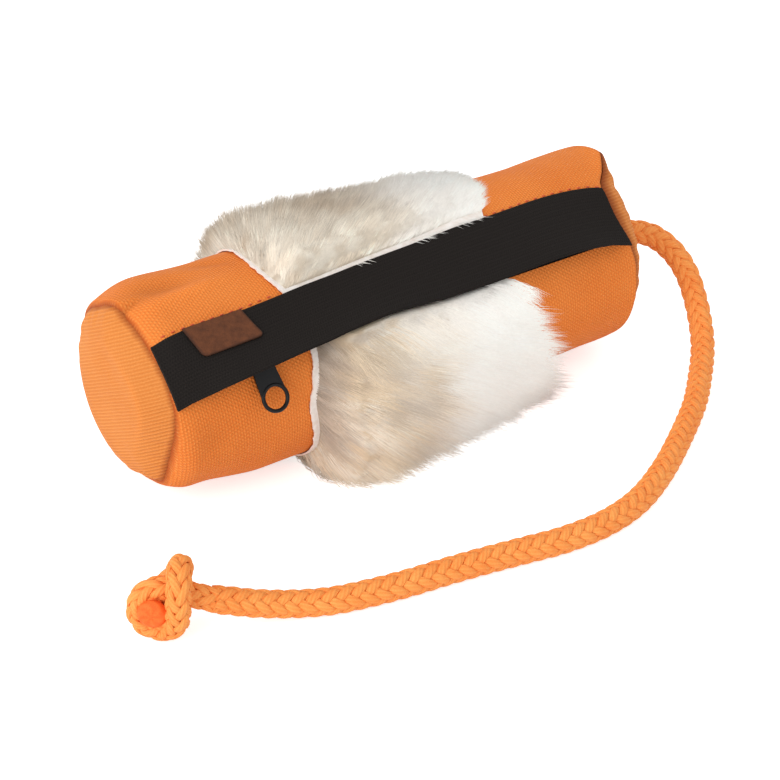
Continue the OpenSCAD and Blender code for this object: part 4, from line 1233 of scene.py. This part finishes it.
def make_undercoat():
    """The dense undercoat that fills the fur to a little below the tips of its hair."""
    share = np.linspace(0, 1, 150)[:, None]
    turn = np.linspace(0, 1, 320)[None, :]
    start, end = fur_range(0.0)
    angle = start + (end - start) * turn
    left, right = hide_left_at(angle) + 0.3, hide_right_at(angle) + UNDERCOAT_RIGHT
    x = left + (right - left) * share
    start, end = fur_range(x)
    angle = start + 0.3 + (end - start - 0.6) * turn
    ends = np.sqrt(np.clip(np.minimum(share / 0.12, (1 - share) / 0.18), 0, 1))
    sides = np.sqrt(np.clip(np.minimum((angle - start) / 4, (end - angle) / 1.5), 0, 1))
    lump = value_noise(x / 2.2 + 3, angle / 2.6 + 2, 11) - 0.5
    height = np.maximum(0.3, UNDERCOAT_SHARE * pile_height(x, angle) * ends * sides * (1 + 0.06 * lump))
    base = canvas_radius(x, angle) + HIDE_THICKNESS
    outer = tube_point(x, base + height, angle)
    inner = tube_point(x, base - 0.1, angle)
    outer[..., 2] = np.maximum(outer[..., 2], 0.2)
    flat = unrolled(x, angle)
    made = sheet_object("fur_undercoat", outer, inner, flat)
    # The undercoat takes the hair's colour, a little darker as painted shade deep in the pile
    tint = fur_colour(x - 6 * smooth_step(x, -30, 0), angle, np.full(x.shape, 0.75))
    set_colours(made, np.tile(tint.reshape(-1, 3) * 0.97, (2, 1)))
    material, tree, shader = fur_material("fur_undercoat", 0.9)
    uv = flat_uv(tree, "flat")[0]
    combed = node(tree, "VectorMath", {0: uv, 1: (0.5, 2.2, 1.0)}, operation="MULTIPLY").outputs[0]
    bump(tree, shader, noise(tree, combed, 1.4, 5.0, 0.7), 0.4, 1.0)
    dress(made, material, "body", "fur", "fur_pile", "fur_pile_front")


def hide_material():
    """Pale suede: soft nap with a faint warm mottle."""
    material, tree, shader = new_material("pale_hide", 0.85, Specular_IOR_Level=0.15)
    here = object_mm(tree)
    mottle = noise(tree, here, 0.4, 4.0)
    nap = noise(tree, here, 3.5, 3.0, 0.7)
    tone = spread(tree, mottle, 0.3, 0.7)
    paint(tree, shader, mix(tree, tone, srgb(234, 222, 212), srgb(250, 245, 240)))
    bump(tree, shader, nap, 0.12, 0.7)
    return material


def make_hide():
    """The hide round the tube, with an uneven left edge that stands off the canvas a little."""
    turn = np.concatenate([np.linspace(0, 0.03, 20), np.linspace(0.032, 1, 400)])[None, :]
    share = np.concatenate([np.linspace(0, 0.06, 10), np.linspace(0.08, 1, 40)])[:, None]
    start, end = fur_range(0.0)
    angle = start + (end - start) * turn
    wrapped = wrap(angle, -90)
    ragged = value_noise(angle / 3.1, 0 * angle + 3, 21)
    ragged = ragged + 0.5 * value_noise(angle / 1.2, 0 * angle + 8, 22)
    bare = 0.6 + 1.1 * (1 - smooth_step(wrapped, 25, 60)) + 0.6 * ragged
    left = hide_left_at(angle) - bare
    x = left + (hide_right_at(angle) + 0.5 - left) * share
    curl = 0.45 * (0.3 + value_noise(angle / 9, 0 * angle + 3, 23)) * (1 - smooth_step(x - left, 0, 2.8))
    sewn, end = flap_edge(x, SEWN_ANGLE) + 0.2, fur_range(x)[1]
    angle = sewn + (end - sewn) * turn
    base = canvas_radius(x, angle) + 0.1 + curl
    outer = tube_point(x, base + HIDE_THICKNESS, angle)
    inner = tube_point(x, base, angle)
    for grid in (outer, inner):
        grid[..., 2] = np.maximum(grid[..., 2], 0.1)
    flat = unrolled(x, angle)
    made = sheet_object("fur_hide_sheet", outer, inner, flat)
    dress(made, hide_material(), "body", "hide", "fur_hide")


def make_hair():
    rng = np.random.default_rng(FUR_SEED)
    total = HAIRS_PER_PIECE * FUR_PIECES
    path, x, angle, shade = grow_hairs(int(total * HAIR_SPARE), rng)
    path[..., 2] = np.maximum(path[..., 2], 0.25)
    kept = np.flatnonzero(clear_of_flap(path))[:total]
    path, x, angle, shade = path[kept], x[kept], angle[kept], shade[kept]
    material = fur_material("fur_hair", 0.55)[0]
    for number in range(FUR_PIECES):
        part = slice(number * HAIRS_PER_PIECE, (number + 1) * HAIRS_PER_PIECE)
        made = hair_object(f"fur_hair_{number + 1:02d}", path[part], x[part], angle[part], shade[part], rng)
        made.visible_shadow = False
        made.visible_diffuse = False
        dress(made, material, "body", "fur", "fur_pile", "fur_pile_front")
    wisps = hair_object("flap_wisps", *wisp_paths(rng), rng)
    wisps.visible_shadow = False
    dress(wisps, material, "body", "fur")


WISPS = 44


def wisp_paths(rng):
    """A few stray hairs that lie over the flap's sewn edge."""
    x = rng.choice([-14.0, 12.0, 19.0, 31.0, 37.0], WISPS) + rng.normal(0, 1.8, WISPS)
    ahead, across = rng.uniform(2, 6, WISPS), rng.uniform(0.6, 2.8, WISPS)
    lift = rng.uniform(0.1, 0.4, WISPS)
    path = []
    for share in np.linspace(0, 1, HAIR_STEPS):
        up = FLAP_THICKNESS + 0.15 + lift * math.sin(math.pi * (0.15 + 0.8 * share))
        path.append(flap_point(x + ahead * share, -0.4 + across * share, up))
    return np.stack(path, axis=1), x + 30, np.full(WISPS, 70.0), np.ones(WISPS)


make_hide()
make_undercoat()
make_hair()


# Zip slider, stops, teeth and eyelet keep their solids and get their finishes here; the lining, the zip's
# tapes, its pull and the knot inside are rebuilt

def metal_material(name, colour, wear_and_painted_light, roughness, shine=0.5):
    """Painted or plated metal with fine scuffs."""
    material, tree, shader = new_material(name, roughness, Specular_IOR_Level=shine)
    here = object_mm(tree)
    scuff = noise(tree, here, 1.2, 5.0, 0.7)
    paint(tree, shader, mix(tree, spread(tree, scuff, 0.62, 0.8), colour, wear_and_painted_light))
    dulled = spread(tree, scuff, 0.3, 0.7, roughness - 0.06, roughness + 0.12)
    tree.links.new(dulled, shader.inputs["Roughness"])
    bump(tree, shader, noise(tree, here, 4.0, 3.0), 0.012, 0.5)
    return material


def woven_material(name, light, dark, pitch, roughness=0.75):
    """Close plain weave, from object coordinates."""
    material, tree, shader = new_material(name, roughness, Sheen_Weight=0.1)
    here = object_mm(tree)
    parts = node(tree, "SeparateXYZ", {0: here})
    rise = plus(tree, parts.outputs[1], parts.outputs[2])
    weave = times(tree, wave(tree, parts.outputs[0], 2 * pitch), wave(tree, rise, 2 * pitch))
    lint = noise(tree, here, 1.4, 4.0, 0.65)
    tone = plus(tree, times(tree, weave, 0.25), spread(tree, lint, 0.3, 0.7, 0.2, 0.8))
    paint(tree, shader, mix(tree, tone, dark, light))
    bump(tree, shader, plus(tree, weave, lint), 0.1, 0.6)
    return material


def plastic_material(name, light, dark):
    """Moulded plastic with a faint flow texture."""
    material, tree, shader = new_material(name, 0.38)
    here = object_mm(tree)
    flow = noise(tree, here, 2.0, 4.0)
    paint(tree, shader, mix(tree, spread(tree, flow, 0.3, 0.7), dark, light))
    tree.links.new(spread(tree, flow, 0.3, 0.7, 0.3, 0.48), shader.inputs["Roughness"])
    bump(tree, shader, flow, 0.02, 0.5)
    return material


def finish_nodes(material, *names):
    for name in names:
        slots = frame["nodes"][name].data.materials
        slots.clear()
        slots.append(material)


black_metal = metal_material("black_metal", srgb(22, 22, 24), srgb(92, 92, 96), 0.26)
finish_nodes(black_metal, "zip_slider", "slider_bridge", "zip_top_stops", "zip_bottom_stop")
gunmetal = metal_material("gunmetal", srgb(70, 70, 74), srgb(150, 150, 154), 0.34)
finish_nodes(gunmetal, "rope_eyelet", "eyelet_washer")
tooth_plastic = plastic_material("zip_teeth", srgb(34, 33, 33), srgb(18, 17, 17))
finish_nodes(tooth_plastic, "zip_teeth_front", "zip_teeth_rear")
zip_cloth = woven_material("zip_tape", srgb(44, 42, 41), srgb(20, 19, 19), 0.4)
lining_cloth = woven_material("grey_lining", srgb(112, 115, 120), srgb(84, 87, 92), 0.35, 0.5)
tape_cloth = woven_material("seam_tape", srgb(58, 57, 58), srgb(34, 33, 34), 0.6)
LINING_GAP = 0.85
LINING_THICKNESS = 0.5
TAPE_WIDTH = 7.0
TAPE_GAP, TAPE_THICKNESS = 1.8, 0.7
TAPE_INSET = 4.5


def inner_sleeve(name, first, last, under, thickness, rows):
    """A sleeve inside the canvas, between two distances along the tube, open over the zip."""
    edge = math.degrees(math.asin((SLOT_HALF + 2) / TUBE_RADIUS))
    angle = ZIP_ANGLE + np.linspace(edge, 360 - edge, 160)[None, :]
    x = first + (last - first) * np.linspace(0, 1, rows)[:, None] + 0 * angle
    angle = angle + 0 * x
    outside = canvas_radius(x, angle) - CANVAS - under
    flat = unrolled(x, angle)
    inner = tube_point(x, outside - thickness, angle)
    return sheet_object(name, tube_point(x, outside, angle), inner, flat)


def make_lining():
    length = HALF_LENGTH - 5.5
    sleeve = inner_sleeve("lining_sleeve", -length, length, LINING_GAP, LINING_THICKNESS, 80)
    dress(sleeve, lining_cloth, "body", "lining", "lining_tube")
    for side, end_name in ((-1, "front"), (1, "rear")):
        outer_end = HALF_LENGTH - TAPE_INSET
        ends = sorted((side * outer_end, side * (outer_end - TAPE_WIDTH)))
        tape = inner_sleeve(end_name + "_seam_binding", *ends, TAPE_GAP, TAPE_THICKNESS, 14)
        dress(tape, tape_cloth, "body", "lining", end_name + "_seam_tape")
        share = np.linspace(0.02 if side < 0 else 0.2, 1, 24)[:, None]
        angle = np.linspace(0, 360, 120, endpoint=False)[None, :]
        x = side * (HALF_LENGTH - 4.2 + 10.2 * (1 - share ** 4)) + 0 * angle
        radius = share * (around(angle, LEFT_SEAM if side < 0 else RIGHT_SEAM, 25) - CREASE - 1.6)
        flat = disc_flat(radius, angle)
        inner = tube_point(x - side * LINING_THICKNESS, radius, angle)
        disc = closed_disc(end_name + "_lining_round", tube_point(x, radius, angle), inner, flat)
        dress(disc, lining_cloth, "body", "lining", end_name + "_lining_disc")


make_lining()

ZIP_TAPE_INNER, ZIP_TAPE_OUTER = 2.65, 22.0
ZIP_TAPE_THICKNESS = 0.5


def make_zip_tape(name, side, node_name):
    """One tape of the zip, from beside its teeth to where it is sewn under the canvas."""
    turn = np.linspace(ZIP_TAPE_INNER, ZIP_TAPE_OUTER, 24)[None, :]
    x = (HALF_LENGTH - 6) * np.linspace(-1, 1, 120)[:, None] + 0 * turn
    angle = ZIP_ANGLE + side * turn + 0 * x
    outside = np.minimum(TUBE_RADIUS, canvas_radius(x, angle)) - CANVAS - 0.15
    flat = np.stack([x, turn + 0 * x], axis=-1)
    inner = tube_point(x, outside - ZIP_TAPE_THICKNESS, angle)
    tape = sheet_object(name, tube_point(x, outside, angle), inner, flat)
    dress(tape, zip_cloth, "body", "zip_tape", node_name)


make_zip_tape("front_zip_tape", -1, "zip_tape_front")
make_zip_tape("rear_zip_tape", 1, "zip_tape_rear")


PULL_BEAD_RADIUS = 4.5
PULL_BEAD_SECTION = (0.66, 0.72)
PULL_BEAD_STEPS, PULL_BEAD_SIDES = 72, 14
PULL_EDGE = 0.2


def make_pull():
    """The zip's pull: its flat tab with softened edges, and a raised bead round its hole."""
    plate = bmesh.new()
    plate.from_mesh(frame["nodes"]["zip_pull"].data)
    bmesh.ops.remove_doubles(plate, verts=plate.verts, dist=1e-6)
    bmesh.ops.dissolve_limit(plate, angle_limit=math.radians(3), verts=plate.verts, edges=plate.edges)
    sharp = [edge for edge in plate.edges if len(edge.link_faces) == 2 and edge.calc_face_angle() > 0.8]
    bmesh.ops.bevel(
        plate, geom=sharp, offset=PULL_EDGE * MM, segments=3, profile=0.5, affect="EDGES", clamp_overlap=True,
    )
    bmesh.ops.triangulate(plate, faces=[face for face in plate.faces if len(face.verts) > 4])
    hole = next(mount for mount in frame["record"]["mounts"] if mount["name"] == "pull_tab_hole")
    centre, axis = np.array(hole["pos_m"]) / MM, unit(np.array(hole["axis"], float))
    right = unit(np.cross(axis, np.array([0, 0, 1.0])))
    turn = np.linspace(0, 2 * np.pi, PULL_BEAD_STEPS, endpoint=False)[:, None]
    spoke = np.cos(turn) * right + np.sin(turn) * np.cross(axis, right)
    axes = np.tile(axis, (PULL_BEAD_STEPS, 1))
    rings = ring_tube(centre + PULL_BEAD_RADIUS * spoke, spoke, axes, *PULL_BEAD_SECTION, PULL_BEAD_SIDES)
    index = np.arange(PULL_BEAD_STEPS * PULL_BEAD_SIDES).reshape(PULL_BEAD_STEPS, PULL_BEAD_SIDES)
    verts = [plate.verts.new(point) for point in rings.reshape(-1, 3) * MM]
    for quad in grid_quads(np.concatenate([index, index[:1]]), closed=True):
        plate.faces.new([verts[i] for i in quad])
    bmesh.ops.recalc_face_normals(plate, faces=plate.faces)
    mesh = bpy.data.meshes.new("zip_pull_tab")
    plate.to_mesh(mesh)
    plate.free()
    mesh.polygons.foreach_set("use_smooth", np.ones(len(mesh.polygons), bool))
    mesh.set_sharp_from_angle(angle=math.radians(40))
    made = bpy.data.objects.new("zip_pull_tab", mesh)
    bpy.context.collection.objects.link(made)
    finish = metal_material("black_pull", srgb(16, 16, 17), srgb(44, 44, 46), 0.34, 0.22)
    dress(made, finish, "pull", "zip_metal", "zip_pull")


make_pull()


def make_anchor_knot():
    """The knot inside that keeps the rope in its eyelet."""
    entry = np.array([box_mm("rope_anchor_knot")[1][0], 0.0, AXIS_HEIGHT])
    route = np.array(KNOT_ROUTE, float)
    path, along = curve_through(route - route[0] + entry, 0.7)
    made = braid("anchor_knot_braid", path, along, ANCHOR_KNOT_RADIUS)
    dress(made, rope_finish, "body", "rope", "rope_anchor_knot")


make_anchor_knot()


# Stage and light

FLOOR_HALF = 3.0
FLOOR_LIFT = 0.6
WORLD_LIGHT = 0.86
KEY_POWER = 14.0
KEY_SIZE = 1.2
KEY_PLACE = (-1.5, -0.4, 0.8)
KEY_AIM = (0.0, -0.02, 0.04)


def shown_rays(tree):
    """1 for rays from the camera and for those that glossy or clear surfaces send."""
    path = node(tree, "LightPath")
    seen = plus(tree, path.outputs["Is Camera Ray"], path.outputs["Is Glossy Ray"])
    return calc(tree, "MINIMUM", plus(tree, seen, path.outputs["Is Transmission Ray"]), 1.0)


def make_stage():
    size = FLOOR_HALF / MM
    corners = np.array([[-size, -size, 0], [size, -size, 0], [size, size, 0], [-size, size, 0]])
    floor = build_object("floor", corners, [[0, 1, 2, 3]])
    material = bpy.data.materials.new("white_floor")
    material.use_nodes = True
    tree = material.node_tree
    tree.nodes.clear()
    matt = node(tree, "BsdfDiffuse", {"Color": (0.92, 0.92, 0.92, 1)})
    lift = times(tree, shown_rays(tree), FLOOR_LIFT)
    glow = node(tree, "Emission", {"Color": (1, 1, 1, 1), "Strength": lift})
    both = node(tree, "AddShader", {0: matt.outputs[0], 1: glow.outputs[0]})
    node(tree, "OutputMaterial", {0: both.outputs[0]})
    floor.data.materials.append(material)
    world = bpy.data.worlds.new("studio")
    bpy.context.scene.world = world
    world.use_nodes = True
    tree = world.node_tree
    back = tree.nodes["Background"]
    back.inputs["Color"].default_value = (1, 1, 1, 1)
    strength = plus(tree, WORLD_LIGHT, times(tree, shown_rays(tree), 1 - WORLD_LIGHT))
    tree.links.new(strength, back.inputs["Strength"])
    key = bpy.data.objects.new("key_light", bpy.data.lights.new("key_light", "AREA"))
    key.data.energy = KEY_POWER
    key.data.size = KEY_SIZE
    key.location = KEY_PLACE
    key.rotation_euler = (Vector(KEY_AIM) - Vector(KEY_PLACE)).to_track_quat("-Z", "Y").to_euler()
    bpy.context.collection.objects.link(key)
    bpy.context.scene.view_settings.view_transform = "Standard"


make_stage()
